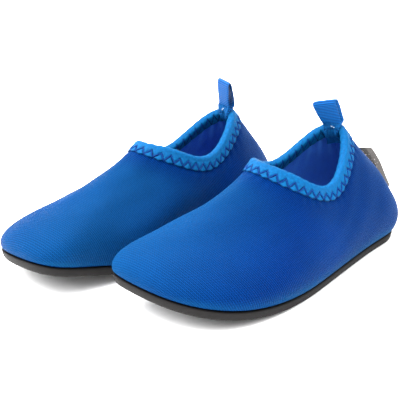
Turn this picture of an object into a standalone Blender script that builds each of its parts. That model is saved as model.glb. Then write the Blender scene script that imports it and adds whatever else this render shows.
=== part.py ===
"""A pair of children's slip-on water shoes, with each sub-part as its own object.

Both shoes come from one drawing of a right shoe in millimetres: X to the outer side of the foot,
Y forward to the toes and Z up, with the back of the sole's edge at the origin. The left shoe is its
mirror image. MM turns millimetres into Blender's metres. The finished pair stands on Z = 0 with its
toes towards -Y.
"""

import math

import bmesh
import bpy
import numpy as np
from mathutils import Matrix, Vector

MM = 0.001
SHARP_ANGLE = math.radians(40)

# Angles round the shoe: 0 is the tip of the toe, 90 degrees the outer side, 180 degrees the heel.
STATIONS = 40
RIB_STEPS = 48
ANGLE_STEP = 0.01

# Edge of the sole from above, as (outward, forward), from the heel by the outer side to the toe and back.
OUTER_EDGE = ((0, 0), (18.3, 6.8), (22.6, 24), (28.3, 63), (32.6, 99), (28.7, 127), (15.4, 144.3))
TOE_EDGE = ((-6.6, 150), (-22.8, 145.6), (-24.9, 127))
INNER_EDGE = ((-26.9, 105), (-22.2, 63), (-21.9, 25.5), (-13.3, 6.8))
OUTLINE_SAMPLES = 361
SOLE_THICKNESS = 4.2
SPRING_START = 79.5
SPRING_END = 150.0
TOE_SPRING = 10.4
INNER_LIFT = 5.2
LIFT_WIDTH = 60.0
MOST_LIFT = 1.2
AXIS_OUTWARD = 1.5
AXIS_BACK = 25.0
AXIS_FRONT = 120.0

# Collar: where the upper's outer face ends.
COLLAR_BACK = 24.6
COLLAR_FRONT = 76.9
COLLAR_SKEW = -0.127
COLLAR_SIDE_FORWARD = 1.0
COLLAR_MIDDLE = -3.0
COLLAR_OUTER_HALF = 18.0
COLLAR_INNER_HALF = 15.2
COLLAR_POINT = 0.112
COLLAR_ROUNDING = 0.05
COLLAR_DIP_FRONT = 4.4
COLLAR_DIP = 2.3
COLLAR_DIP_SKEW = -1.9

# Ribs of the upper are cubic curves. Each row is (toe, outer side, inner side, heel).
COLLAR_HEIGHT = (51.3, 36.6, 40.9, 55.7)
LOW_HANDLE_UP = (15.1, 12.5, 14.2, 14.1)
LOW_HANDLE_OUT = (5.5, 8.7, 6.2, 10.4)
HIGH_HANDLE = (39.4, 13.7, 13.5, 20.0)
LEAN = (0.0, 0.42, 0.38, 0.55)
VAMP_SLOPE = -0.63

# Layers at the collar, as depths inside the outer face. GAP is left between touching pieces.
GAP = 0.3
LINING_GAP = 0.45
BINDING = 0.9
SHELL_UNDER_BINDING = BINDING + GAP
SHELL_FACE = 0.4
SHELL_INSIDE = 2.4
LINING_OUTSIDE = SHELL_INSIDE + LINING_GAP
LINING_INSIDE = LINING_OUTSIDE + 0.7
BINDING_INSIDE = LINING_INSIDE + GAP
COLLAR_DEPTH = BINDING_INSIDE + BINDING
FOLD_RADIUS = COLLAR_DEPTH / 2
FOLD_TURNS = (math.pi / 4, math.pi / 2, 3 * math.pi / 4)

# Distances down a rib from the collar's edge.
FOLD_DOWN = FOLD_RADIUS
LAYERS_TOP = FOLD_DOWN + 0.1
BINDING_END = 7.2
INNER_BINDING_END = 6.4
SHELL_STEP_TOP = 7.5
SHELL_STEP_END = 8.3
WALL_FOOT = 7.0
WALL_ROWS = 7

# Turned-in margins and the layers under the foot, as heights above the sole's top and insets from its edge.
SHELL_MARGIN = 8.0
LINING_MARGIN = 5.5
MARGIN_THICKNESS = 1.2
LINING_MARGIN_LOW = MARGIN_THICKNESS + GAP + LINING_GAP
LINING_MARGIN_HIGH = LINING_MARGIN_LOW + 0.6
BOARD_INSET = SHELL_MARGIN + 0.6
SOCKLINER_LOW = LINING_MARGIN_HIGH + GAP
SOCKLINER_HIGH = SOCKLINER_LOW + 3.0
SOCKLINER_DEPTH = LINING_INSIDE + 0.8
SOCKLINER_DISH = 0.5
SOCKLINER_RIM = 3.0

# Outsole side, as (inset, height) rows, and the grooves under it.
OUTSOLE_ROWS = ((1.4, 0.0), (0.6, 0.8), (0.0, 3.0), (0.3, SOLE_THICKNESS))
GROOVE_DEPTH = 1.0
GROOVE_WIDTH = 1.6
GROOVE_PITCH = 6.0
FOREFOOT_GROOVES = (90.0, 9)
HEEL_GROOVES = (11.0, 5)
GROOVE_MARGIN = 5.0
GROOVE_STEPS = 4
GROOVE_BOW = 2.0

# Threads.
THREAD_RADIUS = 0.22
COLLAR_ZIGZAGS = 38
OUTER_ZIGZAG = (3.9, 6.9)
INNER_ZIGZAG = (3.3, 6.0)
INNER_THREAD_GAP = math.radians(34)
INNER_THREAD_POINTS = 62
STROBEL_ZIGZAGS = 40
STROBEL_INSETS = (7.2, 9.6)

# Heel pull loop, hinged at the middle of the collar's fold.
LOOP_LEAN = math.radians(24)
LOOP_FORWARD = 1.0
LOOP_RAISE = 0.5
LOOP_START = FOLD_RADIUS + 0.7
LOOP_LENGTH = 14.2
LOOP_BASE_WIDTH = 4.6
LOOP_TOP_WIDTH = 10.2
LOOP_FLARE = 0.4
LOOP_BASE_SPREAD = 1.3
LOOP_TOP_SPREAD = 2.1
LOOP_THICKNESS = 0.8
LOOP_STEPS = 7
LOOP_TWIST = {"left": math.radians(48), "right": math.radians(4)}
LOOP_BASE_TWIST = 0.25

# The loop's tail and bar tack inside the heel, and the tape over the back seam.
TAIL_STATIONS = 3
TAIL_DEPTH = (COLLAR_DEPTH + GAP, COLLAR_DEPTH + GAP + 0.9)
TAIL_DOWN = (2.6, 10.8)
TACK_DEPTH = (TAIL_DEPTH[1] + 0.8, TAIL_DEPTH[1] + 1.4)
TACK_DOWN = (3.4, 5.6)
PATCH_ROWS = 4
TAPE_STATIONS = 2
TAPE_DEPTH = (LINING_INSIDE + GAP, LINING_INSIDE + GAP + 0.5)

# Folded label sewn in the left heel's back seam, in the plane of the seam, as (forward, height).
LABEL_FOOT = (-3.5, 15.2)
LABEL_TOP = (9.0, 37.6)
LABEL_REACH = 9.6
LABEL_SLANT = 1.5
LABEL_THICKNESS = 0.9
LABEL_CORNER = 1.0
LABEL_OUTWARD = -1.6
# The sewn edge follows the heel, as (part of the half length, back from the hinge line), foot to top.
LABEL_ROOT = ((-1.0, -1.1), (-0.75, -0.5), (-0.33, -0.15), (0.0, -0.25), (0.5, -0.9), (1.0, -1.8))

# Places of the back of each sole's edge, and how far each shoe is turned.
PLACES = {"left": (32.0, 75.95), "right": (-26.2, 62.25)}
TURNS = {"left": math.pi, "right": math.radians(176.6)}

# Colour, metallic and roughness.
FINISHES = {
    "outsole": ((0.045, 0.041, 0.039), 0.0, 0.62),
    "insole_board": ((0.55, 0.53, 0.48), 0.0, 0.85),
    "sockliner": ((0.015, 0.022, 0.075), 0.0, 0.8),
    "upper_shell": ((0.014, 0.095, 0.42), 0.0, 0.5),
    "upper_lining": ((0.012, 0.025, 0.12), 0.0, 0.75),
    "collar_binding": ((0.016, 0.22, 0.66), 0.0, 0.45),
    "binding_outer_thread": ((0.01, 0.04, 0.2), 0.0, 0.5),
    "binding_inner_thread": ((0.01, 0.04, 0.2), 0.0, 0.5),
    "strobel_thread": ((0.02, 0.02, 0.025), 0.0, 0.6),
    "pull_loop": ((0.016, 0.2, 0.62), 0.0, 0.45),
    "loop_tail": ((0.016, 0.18, 0.56), 0.0, 0.5),
    "loop_bar_tack": ((0.03, 0.22, 0.6), 0.0, 0.45),
    "heel_seam_tape": ((0.012, 0.03, 0.14), 0.0, 0.7),
    "heel_label": ((0.16, 0.145, 0.13), 0.0, 0.7),
}


def closed_spline(corners):
    """A smooth closed curve through the corners, and the corners' parameters on it."""
    corners = np.array(corners, float)
    count = len(corners)
    following = np.roll(corners, -1, axis=0)
    gaps = np.sqrt(np.linalg.norm(following - corners, axis=1))
    slopes = (following - corners) / gaps[:, None]
    system = np.zeros((count, count))
    for i in range(count):
        system[i, i - 1] += gaps[i - 1]
        system[i, i] += 2 * (gaps[i - 1] + gaps[i])
        system[i, (i + 1) % count] += gaps[i]
    bends = np.linalg.solve(system, 6 * (slopes - np.roll(slopes, 1, axis=0)))
    knots = np.concatenate(([0.0], np.cumsum(gaps)))

    def at(parameters):
        wrapped = np.mod(parameters, knots[-1])
        part = np.clip(np.searchsorted(knots, wrapped, side="right") - 1, 0, count - 1)
        after = (part + 1) % count
        gap = gaps[part][:, None]
        along = wrapped[:, None] - knots[part][:, None]
        back = gap - along
        curved = (bends[part] * back**3 + bends[after] * along**3) / (6 * gap)
        from_start = (corners[part] / gap - bends[part] * gap / 6) * back
        from_end = (corners[after] / gap - bends[after] * gap / 6) * along
        return curved + from_start + from_end

    return at, knots


SOLE_CURVE, SOLE_KNOTS = closed_spline(OUTER_EDGE + TOE_EDGE + INNER_EDGE)
TOE_KNOT = SOLE_KNOTS[len(OUTER_EDGE)]


def edge_plan(angles):
    """Sole edge points from above. Angles run from the toe by the outer side to the heel and on."""
    angles = np.mod(angles, 2 * math.pi)
    outer = TOE_KNOT * (1 - angles / math.pi)
    inner = TOE_KNOT + (SOLE_KNOTS[-1] - TOE_KNOT) * (2 - angles / math.pi)
    return SOLE_CURVE(np.where(angles <= math.pi, outer, inner))


def ground(plan):
    """Height of the sole's underside: flat from the heel to the ball of the foot, then rising to the toe."""
    rise = np.clip((plan[:, 1] - SPRING_START) / (SPRING_END - SPRING_START), 0, MOST_LIFT)
    tilt = np.clip(0.5 - plan[:, 0] / LIFT_WIDTH, 0, MOST_LIFT)
    return TOE_SPRING * rise**2 + INNER_LIFT * rise * tilt


def on_sole(plan, height):
    return np.column_stack((plan, ground(plan) + height))


def by_side(angles, values):
    """A value that runs smoothly between its (toe, outer side, inner side, heel) values."""
    toe, outer, inner, heel = values
    across = np.cos(angles)
    side = np.sin(angles)
    ends = across**2 * np.where(across > 0, toe, heel)
    return ends + side**2 * np.where(side > 0, outer, inner)


def collar_edge(angles):
    across = np.cos(angles)
    side = np.sin(angles)
    share = (1 + np.cos(angles + COLLAR_SKEW * side)) / 2
    forward = COLLAR_BACK + (COLLAR_FRONT - COLLAR_BACK) * share + COLLAR_SIDE_FORWARD * side**2
    half = np.where(side > 0, COLLAR_OUTER_HALF, COLLAR_INNER_HALF)
    pointed = ((side**2 + COLLAR_ROUNDING) / (1 + COLLAR_ROUNDING)) ** COLLAR_POINT
    outward = COLLAR_MIDDLE + half * side * pointed
    height = by_side(angles, COLLAR_HEIGHT) + COLLAR_DIP_FRONT * across * side**2
    height += (COLLAR_DIP + COLLAR_DIP_SKEW * across) * np.sin(2 * angles) ** 2
    return np.column_stack((outward, forward, height))


def unit(vectors):
    return vectors / np.linalg.norm(vectors, axis=-1, keepdims=True)


def rib_points(angles):
    """Grid of points on the upper's outer face, one column an angle, from the collar down to the sole."""
    edge = edge_plan(angles)
    ahead = edge_plan(angles + ANGLE_STEP) - edge_plan(angles - ANGLE_STEP)
    out = unit(np.column_stack((-ahead[:, 1], ahead[:, 0], np.zeros(len(angles)))))
    foot = on_sole(edge, SOLE_THICKNESS)
    top = collar_edge(angles)
    low = foot + out * by_side(angles, LOW_HANDLE_OUT)[:, None]
    low[:, 2] += by_side(angles, LOW_HANDLE_UP)
    lean = by_side(angles, LEAN)
    down = np.column_stack((np.sin(angles) * lean, np.cos(angles) * lean, -np.ones(len(angles))))
    front = (np.clip(np.cos(angles), 0, 1) ** 2)[:, None]
    down = unit(down * (1 - front) + np.array((0.0, 1.0, VAMP_SLOPE)) * front)
    high = top + down * by_side(angles, HIGH_HANDLE)[:, None]
    here = np.linspace(0, 1, RIB_STEPS)[:, None, None]
    rest = 1 - here
    return rest**3 * top + 3 * rest**2 * here * high + 3 * rest * here**2 * low + here**3 * foot


class Skin:
    """The upper's outer face at some angles, measured along its ribs from the collar's edge."""

    def __init__(self, angles):
        self.angles = np.array(angles, float)
        self.points = rib_points(self.angles)
        along = np.gradient(self.points, axis=0)
        around = rib_points(self.angles + ANGLE_STEP) - rib_points(self.angles - ANGLE_STEP)
        self.normals = unit(np.cross(around, along))
        self.tangents = unit(along)
        steps = np.linalg.norm(np.diff(self.points, axis=0), axis=2)
        self.downs = np.vstack((np.zeros(len(self.angles)), np.cumsum(steps, axis=0)))
        self.length = self.downs[-1]

    def sample(self, grid, keys, wanted):
        """Reads the grid column by column, where the keys reach the wanted values."""
        wanted = np.broadcast_to(wanted, len(self.angles))
        columns = []
        for i, value in enumerate(wanted):
            column = [np.interp(value, keys[:, i], grid[:, i, axis]) for axis in range(3)]
            columns.append(column)
        return np.array(columns)

    def ring(self, down, depth):
        """Points this far down the ribs and this far inside the outer face."""
        return self.sample(self.points - self.normals * depth, self.downs, down)

    def ring_at_height(self, height, depth):
        """Points this high above the sole's top and this far inside the outer face."""
        face = self.points - self.normals * depth
        plan = face[:, :, :2].reshape(-1, 2)
        above = face[:, :, 2] - ground(plan).reshape(face.shape[:2]) - SOLE_THICKNESS
        return self.sample(face[::-1], above[::-1], height)

    def sole_ring(self, inset, height):
        """Points inset from the sole's edge, this high above its underside."""
        plan = edge_plan(self.angles)
        middle = np.full(len(plan), AXIS_OUTWARD)
        axis = np.column_stack((middle, np.clip(plan[:, 1], AXIS_BACK, AXIS_FRONT)))
        inset_plan = plan + unit(axis - plan) * np.reshape(inset, (-1, 1))
        return on_sole(inset_plan, height)

    def fold(self, turn, radius):
        """Points on the fold over the collar's edge: turn 0 is the outer face and pi the inner one."""
        middle = self.ring(FOLD_DOWN, FOLD_RADIUS)
        normal = unit(self.sample(self.normals, self.downs, FOLD_DOWN))
        upward = -unit(self.sample(self.tangents, self.downs, FOLD_DOWN))
        return middle + radius * (normal * math.cos(turn) + upward * math.sin(turn))


def new_verts(bm, points):
    return [bm.verts.new(Vector(point) * MM) for point in points]


def join_rings(bm, first, second, closed=True):
    count = len(first)
    for i in range(count if closed else count - 1):
        after = (i + 1) % count
        bm.faces.new((first[i], first[after], second[after], second[i]))


def strips_across(bm, ring):
    """Fills a ring round the shoe with strips that run straight across it."""
    count = len(ring)
    for i in range(count // 2):
        corners = [ring[i], ring[i + 1], ring[count - i - 1], ring[(count - i) % count]]
        bm.faces.new(list(dict.fromkeys(corners)))


def finished(bm, name):
    bmesh.ops.recalc_face_normals(bm, faces=bm.faces)
    mesh = bpy.data.meshes.new(name)
    bm.to_mesh(mesh)
    bm.free()
    mesh.shade_smooth()
    mesh.set_sharp_from_angle(angle=SHARP_ANGLE)
    return mesh


def tube_mesh(name, rings):
    """A ring-shaped solid: each ring runs round the shoe, and the last joins the first."""
    bm = bmesh.new()
    rows = [new_verts(bm, ring) for ring in rings]
    for i, row in enumerate(rows):
        join_rings(bm, row, rows[(i + 1) % len(rows)])
    return finished(bm, name)


def slab_mesh(name, rings):
    """A solid under the foot: rings from its underside to its top, filled across at both ends."""
    bm = bmesh.new()
    rows = [new_verts(bm, ring) for ring in rings]
    for lower, upper in zip(rows, rows[1:]):
        join_rings(bm, lower, upper)
    strips_across(bm, rows[0])
    strips_across(bm, rows[-1])
    return finished(bm, name)


def patch_mesh(name, front, back):
    """A closed patch between two grids of points of the same size."""
    bm = bmesh.new()
    sheets = [[new_verts(bm, row) for row in grid] for grid in (front, back)]
    for sheet in sheets:
        for upper, lower in zip(sheet, sheet[1:]):
            join_rings(bm, upper, lower, closed=False)
    rims = []
    for sheet in sheets:
        right = [row[-1] for row in sheet[1:-1]]
        left = [row[0] for row in sheet[1:-1]]
        rims.append(sheet[0] + right + sheet[-1][::-1] + left[::-1])
    join_rings(bm, rims[0], rims[1])
    return finished(bm, name)


def thread_curve(name, points, closed):
    """A thin round thread through the points."""
    curve = bpy.data.curves.new(name, "CURVE")
    curve.dimensions = "3D"
    spline = curve.splines.new("POLY")
    spline.points.add(len(points) - 1)
    for target, point in zip(spline.points, points):
        target.co = (*(Vector(point) * MM), 1.0)
    spline.use_cyclic_u = closed
    curve.bevel_depth = THREAD_RADIUS * MM
    curve.bevel_resolution = 0
    curve.use_fill_caps = True
    return curve


def wall_downs(skin):
    """Distances down the ribs below the binding, the last one just above the sole."""
    span = skin.length - WALL_FOOT - SHELL_STEP_END
    even = [SHELL_STEP_END + span * i / (WALL_ROWS - 1) for i in range(WALL_ROWS)]
    return even + [skin.length - GAP]


def make_outsole(skin):
    return slab_mesh("outsole", [skin.sole_ring(inset, height) for inset, height in OUTSOLE_ROWS])


def groove_rows():
    rows = []
    for start, count in (HEEL_GROOVES, FOREFOOT_GROOVES):
        rows += [start + GROOVE_PITCH * i for i in range(count)]
    return rows


def groove_span(forward):
    """Where a groove starts and ends across the sole."""
    outline = edge_plan(np.linspace(0, 2 * math.pi, OUTLINE_SAMPLES))
    near = outline[np.abs(outline[:, 1] - forward) < GROOVE_PITCH]
    outer = near[near[:, 0] > AXIS_OUTWARD][:, 0].min()
    inner = near[near[:, 0] < AXIS_OUTWARD][:, 0].max()
    return inner + GROOVE_MARGIN, outer - GROOVE_MARGIN


def add_groove(bm, forward):
    """One bowed bar that cuts a groove across the underside."""
    rings = []
    for outward in np.linspace(*groove_span(forward), GROOVE_STEPS + 1):
        bow = GROOVE_BOW * (1 - (outward / LIFT_WIDTH * 2) ** 2)
        plan = np.array([(outward, forward + bow)])
        floor = ground(plan)[0]
        back = plan[0, 1] - GROOVE_WIDTH / 2
        front = plan[0, 1] + GROOVE_WIDTH / 2
        corners = ((back, -1), (front, -1), (front, GROOVE_DEPTH), (back, GROOVE_DEPTH))
        rings.append(new_verts(bm, [(outward, y, floor + z) for y, z in corners]))
    for ring, following in zip(rings, rings[1:]):
        join_rings(bm, ring, following)
    bm.faces.new(rings[0])
    bm.faces.new(rings[-1])


def make_tread_cutter():
    bm = bmesh.new()
    for forward in groove_rows():
        add_groove(bm, forward)
    return finished(bm, "tread_cutter")


def make_insole_board(skin):
    low = SOLE_THICKNESS + GAP
    rings = [skin.sole_ring(BOARD_INSET, height) for height in (low, low + MARGIN_THICKNESS)]
    return slab_mesh("insole_board", rings)


def make_sockliner(skin):
    low = skin.ring_at_height(SOCKLINER_LOW, SOCKLINER_DEPTH)
    high = skin.ring_at_height(SOCKLINER_HIGH, SOCKLINER_DEPTH)
    inward = unit(skin.sole_ring(1.0, 0.0) - skin.sole_ring(0.0, 0.0))
    dish = high + inward * SOCKLINER_RIM
    dish[:, 2] = ground(dish[:, :2]) + SOLE_THICKNESS + SOCKLINER_HIGH - SOCKLINER_DISH
    return slab_mesh("sockliner", [low, high, dish])


def make_upper_shell(skin):
    rings = [skin.ring(down, SHELL_UNDER_BINDING) for down in (LAYERS_TOP, SHELL_STEP_TOP)]
    rings += [skin.ring(down, SHELL_FACE) for down in wall_downs(skin)]
    rings.append(skin.sole_ring(SHELL_MARGIN, SOLE_THICKNESS + GAP))
    rings.append(skin.sole_ring(SHELL_MARGIN, SOLE_THICKNESS + GAP + MARGIN_THICKNESS))
    rings.append(skin.ring_at_height(GAP + MARGIN_THICKNESS, SHELL_INSIDE))
    rings += [skin.ring(down, SHELL_INSIDE) for down in wall_downs(skin)[-2::-1]]
    rings += [skin.ring(down, SHELL_INSIDE) for down in (SHELL_STEP_TOP, LAYERS_TOP)]
    return tube_mesh("upper_shell", rings)


def make_upper_lining(skin):
    downs = [LAYERS_TOP, SHELL_STEP_TOP] + wall_downs(skin)[:-1]
    rings = [skin.ring(down, LINING_OUTSIDE) for down in downs]
    rings.append(skin.ring_at_height(LINING_MARGIN_LOW, LINING_OUTSIDE))
    rings.append(skin.sole_ring(LINING_MARGIN, SOLE_THICKNESS + LINING_MARGIN_LOW))
    rings.append(skin.sole_ring(LINING_MARGIN, SOLE_THICKNESS + LINING_MARGIN_HIGH))
    rings.append(skin.ring_at_height(LINING_MARGIN_HIGH, LINING_INSIDE))
    rings += [skin.ring(down, LINING_INSIDE) for down in downs[::-1]]
    return tube_mesh("upper_lining", rings)


def make_collar_binding(skin):
    rings = [skin.ring(BINDING_END, 0.0), skin.ring(FOLD_DOWN, 0.0)]
    rings += [skin.fold(turn, FOLD_RADIUS) for turn in FOLD_TURNS]
    rings += [skin.ring(FOLD_DOWN, COLLAR_DEPTH), skin.ring(INNER_BINDING_END, COLLAR_DEPTH)]
    rings += [skin.ring(INNER_BINDING_END, BINDING_INSIDE), skin.ring(FOLD_DOWN, BINDING_INSIDE)]
    rings += [skin.fold(turn, FOLD_RADIUS - BINDING) for turn in FOLD_TURNS[::-1]]
    rings += [skin.ring(FOLD_DOWN, BINDING), skin.ring(BINDING_END, BINDING)]
    return tube_mesh("collar_binding", rings)


def zigzag(count, first, second):
    """Every other value from each of two rings of points."""
    return [first[i] if i % 2 == 0 else second[i] for i in range(count)]


def make_outer_thread():
    count = 2 * COLLAR_ZIGZAGS
    skin = Skin(np.linspace(0, 2 * math.pi, count, endpoint=False))
    depth = -GAP - THREAD_RADIUS
    points = zigzag(count, skin.ring(OUTER_ZIGZAG[0], depth), skin.ring(OUTER_ZIGZAG[1], depth))
    return thread_curve("binding_outer_thread", points, closed=True)


def make_inner_thread():
    """The inner thread stops short of the loop's tail on both sides."""
    count = INNER_THREAD_POINTS
    skin = Skin(np.linspace(math.pi + INNER_THREAD_GAP, 3 * math.pi - INNER_THREAD_GAP, count))
    depth = COLLAR_DEPTH + GAP + THREAD_RADIUS
    points = zigzag(count, skin.ring(INNER_ZIGZAG[0], depth), skin.ring(INNER_ZIGZAG[1], depth))
    return thread_curve("binding_inner_thread", points, closed=False)


def make_strobel_thread():
    """Overedge stitches that join the shell's turned-in margin to the insole board."""
    count = 2 * STROBEL_ZIGZAGS
    skin = Skin(np.linspace(0, 2 * math.pi, count, endpoint=False))
    height = SOLE_THICKNESS + MARGIN_THICKNESS + 2 * GAP + THREAD_RADIUS
    rings = [skin.sole_ring(inset, height) for inset in STROBEL_INSETS]
    return thread_curve("strobel_thread", zigzag(count, *rings), closed=True)


def heel_skin(stations):
    """The skin at the back of the heel, with this many of the shoe's stations on each side of the middle."""
    half_angle = 2 * math.pi * stations / STATIONS
    return Skin(np.linspace(math.pi - half_angle, math.pi + half_angle, 2 * stations + 1))


def heel_patch(name, skin, depths, downs):
    """A patch inside the heel, curved like it."""
    grids = [[skin.ring(down, depth) for down in downs] for depth in depths]
    return patch_mesh(name, *grids)


def make_loop_tail():
    downs = np.linspace(*TAIL_DOWN, PATCH_ROWS)
    return heel_patch("loop_tail", heel_skin(TAIL_STATIONS), TAIL_DEPTH, downs)


def make_bar_tack():
    """A bar across the tail, in three columns, since more would cross each other in the tight heel."""
    skin = heel_skin(TAIL_STATIONS)
    downs = np.linspace(*TACK_DOWN, PATCH_ROWS)
    grids = [[skin.ring(down, depth)[::TAIL_STATIONS] for down in downs] for depth in TACK_DEPTH]
    return patch_mesh("loop_bar_tack", *grids)


def make_seam_tape():
    skin = heel_skin(TAPE_STATIONS)
    return heel_patch("heel_seam_tape", skin, TAPE_DEPTH, wall_downs(skin)[1:-1])


def loop_hinge():
    """A point just inside the middle of the collar's fold, so that the loop clears it either way."""
    return Skin((math.pi,)).ring(FOLD_DOWN, FOLD_RADIUS)[0] + np.array((0.0, LOOP_FORWARD, LOOP_RAISE))


def loop_path():
    """The ribbon's middle line in the loop's own plane, as (across, along) from the hinge."""
    low = LOOP_START + LOOP_THICKNESS / 2
    bend = LOOP_TOP_SPREAD
    high = low + LOOP_LENGTH - LOOP_THICKNESS - bend
    rise = [i / LOOP_STEPS for i in range(LOOP_STEPS + 1)]
    widening = LOOP_TOP_SPREAD - LOOP_BASE_SPREAD
    spreads = [LOOP_BASE_SPREAD + widening * math.sin(t * math.pi / 2) for t in rise]
    up = [(spread, low + (high - low) * t) for spread, t in zip(spreads, rise)]
    over = [(bend * math.cos(turn), high + bend * math.sin(turn)) for turn in FOLD_TURNS]
    return up + over + [(-across, along) for across, along in up[::-1]]


def make_pull_loop(side):
    """A ribbon folded over into a flat loop. Its width turns about the loop's own length."""
    path = np.array(loop_path())
    ahead = unit(np.roll(path, -1, axis=0) - np.roll(path, 1, axis=0))
    outward = np.column_stack((ahead[:, 1], -ahead[:, 0]))
    along = np.array((0.0, math.sin(LOOP_LEAN), math.cos(LOOP_LEAN)))
    across = np.array((0.0, -math.cos(LOOP_LEAN), math.sin(LOOP_LEAN)))
    sidewise = np.array((1.0, 0.0, 0.0))
    bm = bmesh.new()
    rings = []
    for place, normal in zip(path, outward):
        rise = (place[1] - LOOP_START) / LOOP_LENGTH
        flare = math.sin(min(1.0, rise / LOOP_FLARE) * math.pi / 2)
        half = (LOOP_BASE_WIDTH + (LOOP_TOP_WIDTH - LOOP_BASE_WIDTH) * flare) / 2
        turn = LOOP_TWIST[side] * (LOOP_BASE_TWIST + (1 - LOOP_BASE_TWIST) * rise)
        broad = sidewise * math.cos(turn) + across * math.sin(turn)
        thick = across * math.cos(turn) - sidewise * math.sin(turn)
        corners = []
        for layer, edge in ((1, 1), (1, -1), (-1, -1), (-1, 1)):
            flat = place + normal * layer * LOOP_THICKNESS / 2
            corners.append(thick * flat[0] + along * flat[1] + broad * half * edge)
        rings.append(new_verts(bm, corners))
    for i, ring in enumerate(rings):
        join_rings(bm, ring, rings[(i + 1) % len(rings)])
    return finished(bm, "pull_loop")


def label_frame():
    """The label's hinge point, and its directions up the seam and back from it."""
    foot = Vector((LABEL_OUTWARD, *LABEL_FOOT))
    top = Vector((LABEL_OUTWARD, *LABEL_TOP))
    upward = (top - foot).normalized()
    backward = Vector((0.0, -upward.z, upward.y))
    return (foot + top) / 2, upward, backward


def make_heel_label():
    """A flat folded flap whose free corners are cut off a little."""
    _, upward, backward = label_frame()
    half = (Vector(LABEL_TOP) - Vector(LABEL_FOOT)).length / 2
    corners = [(part * half, back) for part, back in LABEL_ROOT]
    corners += [
        (half, LABEL_REACH - LABEL_CORNER),
        (half - LABEL_CORNER, LABEL_REACH),
        (-half - LABEL_SLANT + LABEL_CORNER, LABEL_REACH),
        (-half - LABEL_SLANT, LABEL_REACH - LABEL_CORNER),
    ]
    bm = bmesh.new()
    faces = []
    for outward in (-LABEL_THICKNESS / 2, LABEL_THICKNESS / 2):
        points = [Vector((outward, 0, 0)) + upward * up + backward * back for up, back in corners]
        faces.append(new_verts(bm, points))
        bm.faces.new(faces[-1])
    join_rings(bm, *faces)
    return finished(bm, "heel_label")


def make_material(name):
    colour, metallic, roughness = FINISHES[name]
    material = bpy.data.materials.new(name)
    material.use_nodes = True
    shader = material.node_tree.nodes["Principled BSDF"]
    shader.inputs["Base Color"].default_value = (*colour, 1.0)
    shader.inputs["Metallic"].default_value = metallic
    shader.inputs["Roughness"].default_value = roughness
    return material


def add_piece(side, name, data, materials, holder, place=(0, 0, 0)):
    """Adds one sub-part of a shoe, mirrored for the left one."""
    place = Vector(place)
    if side == "left":
        data.transform(Matrix.Scale(-1, 4, (1, 0, 0)))
        place.x = -place.x
        if isinstance(data, bpy.types.Mesh):
            data.flip_normals()
    data.materials.append(materials[name])
    piece = bpy.data.objects.new(f"{side}_{name}", data)
    piece.location = place * MM
    piece.parent = holder
    bpy.context.scene.collection.objects.link(piece)
    return piece


def cut_tread(outsole, cutter):
    cutter.hide_render = True
    cutter.display_type = "WIRE"
    cut = outsole.modifiers.new("tread", "BOOLEAN")
    cut.operation = "DIFFERENCE"
    cut.solver = "EXACT"
    cut.object = cutter


def make_shoe(side, materials):
    holder = bpy.data.objects.new(f"{side}_shoe", None)
    holder.location = (PLACES[side][0] * MM, PLACES[side][1] * MM, 0.0)
    holder.rotation_euler.z = TURNS[side]
    bpy.context.scene.collection.objects.link(holder)
    skin = Skin(np.linspace(0, 2 * math.pi, STATIONS, endpoint=False))
    pieces = {
        "outsole": make_outsole(skin),
        "insole_board": make_insole_board(skin),
        "sockliner": make_sockliner(skin),
        "upper_shell": make_upper_shell(skin),
        "upper_lining": make_upper_lining(skin),
        "collar_binding": make_collar_binding(skin),
        "binding_outer_thread": make_outer_thread(),
        "binding_inner_thread": make_inner_thread(),
        "strobel_thread": make_strobel_thread(),
        "loop_tail": make_loop_tail(),
        "loop_bar_tack": make_bar_tack(),
        "heel_seam_tape": make_seam_tape(),
    }
    made = {name: add_piece(side, name, data, materials, holder) for name, data in pieces.items()}
    cutter = add_piece(side, "tread_cutter", make_tread_cutter(), materials, holder)
    cut_tread(made["outsole"], cutter)
    add_piece(side, "pull_loop", make_pull_loop(side), materials, holder, loop_hinge())
    if side == "left":
        hinge, _, _ = label_frame()
        add_piece(side, "heel_label", make_heel_label(), materials, holder, hinge)


def main():
    for existing in list(bpy.data.objects):
        bpy.data.objects.remove(existing, do_unlink=True)
    materials = {name: make_material(name) for name in FINISHES}
    materials["tread_cutter"] = materials["outsole"]
    for side in ("left", "right"):
        make_shoe(side, materials)


main()
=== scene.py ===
"""The looks of a pair of children's slip-on water shoes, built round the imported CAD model.

As in the CAD source, both shoes come from one drawing of a right shoe in millimetres: X to the outer
side of the foot, Y forward to the toes and Z up, with the back of the sole's edge at the origin. The
left shoe is its mirror image. in_frame() turns drawing points into the frame's metres.
"""

import math

import bmesh
import bpy
import numpy as np
from mathutils import Matrix, Vector


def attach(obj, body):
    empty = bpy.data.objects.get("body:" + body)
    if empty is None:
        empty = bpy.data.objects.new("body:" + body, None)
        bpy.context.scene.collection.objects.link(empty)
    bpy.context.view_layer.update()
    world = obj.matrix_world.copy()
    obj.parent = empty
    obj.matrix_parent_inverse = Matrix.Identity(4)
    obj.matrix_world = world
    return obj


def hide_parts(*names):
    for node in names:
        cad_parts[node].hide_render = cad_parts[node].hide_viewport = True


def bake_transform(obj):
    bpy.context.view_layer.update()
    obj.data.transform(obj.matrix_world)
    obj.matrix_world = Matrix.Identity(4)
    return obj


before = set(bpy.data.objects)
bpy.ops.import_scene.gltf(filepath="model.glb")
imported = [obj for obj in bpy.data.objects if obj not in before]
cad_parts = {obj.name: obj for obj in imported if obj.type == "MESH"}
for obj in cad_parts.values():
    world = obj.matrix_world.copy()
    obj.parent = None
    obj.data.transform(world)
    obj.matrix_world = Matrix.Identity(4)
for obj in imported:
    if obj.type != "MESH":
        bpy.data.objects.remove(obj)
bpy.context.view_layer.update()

MM = 0.001
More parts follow.
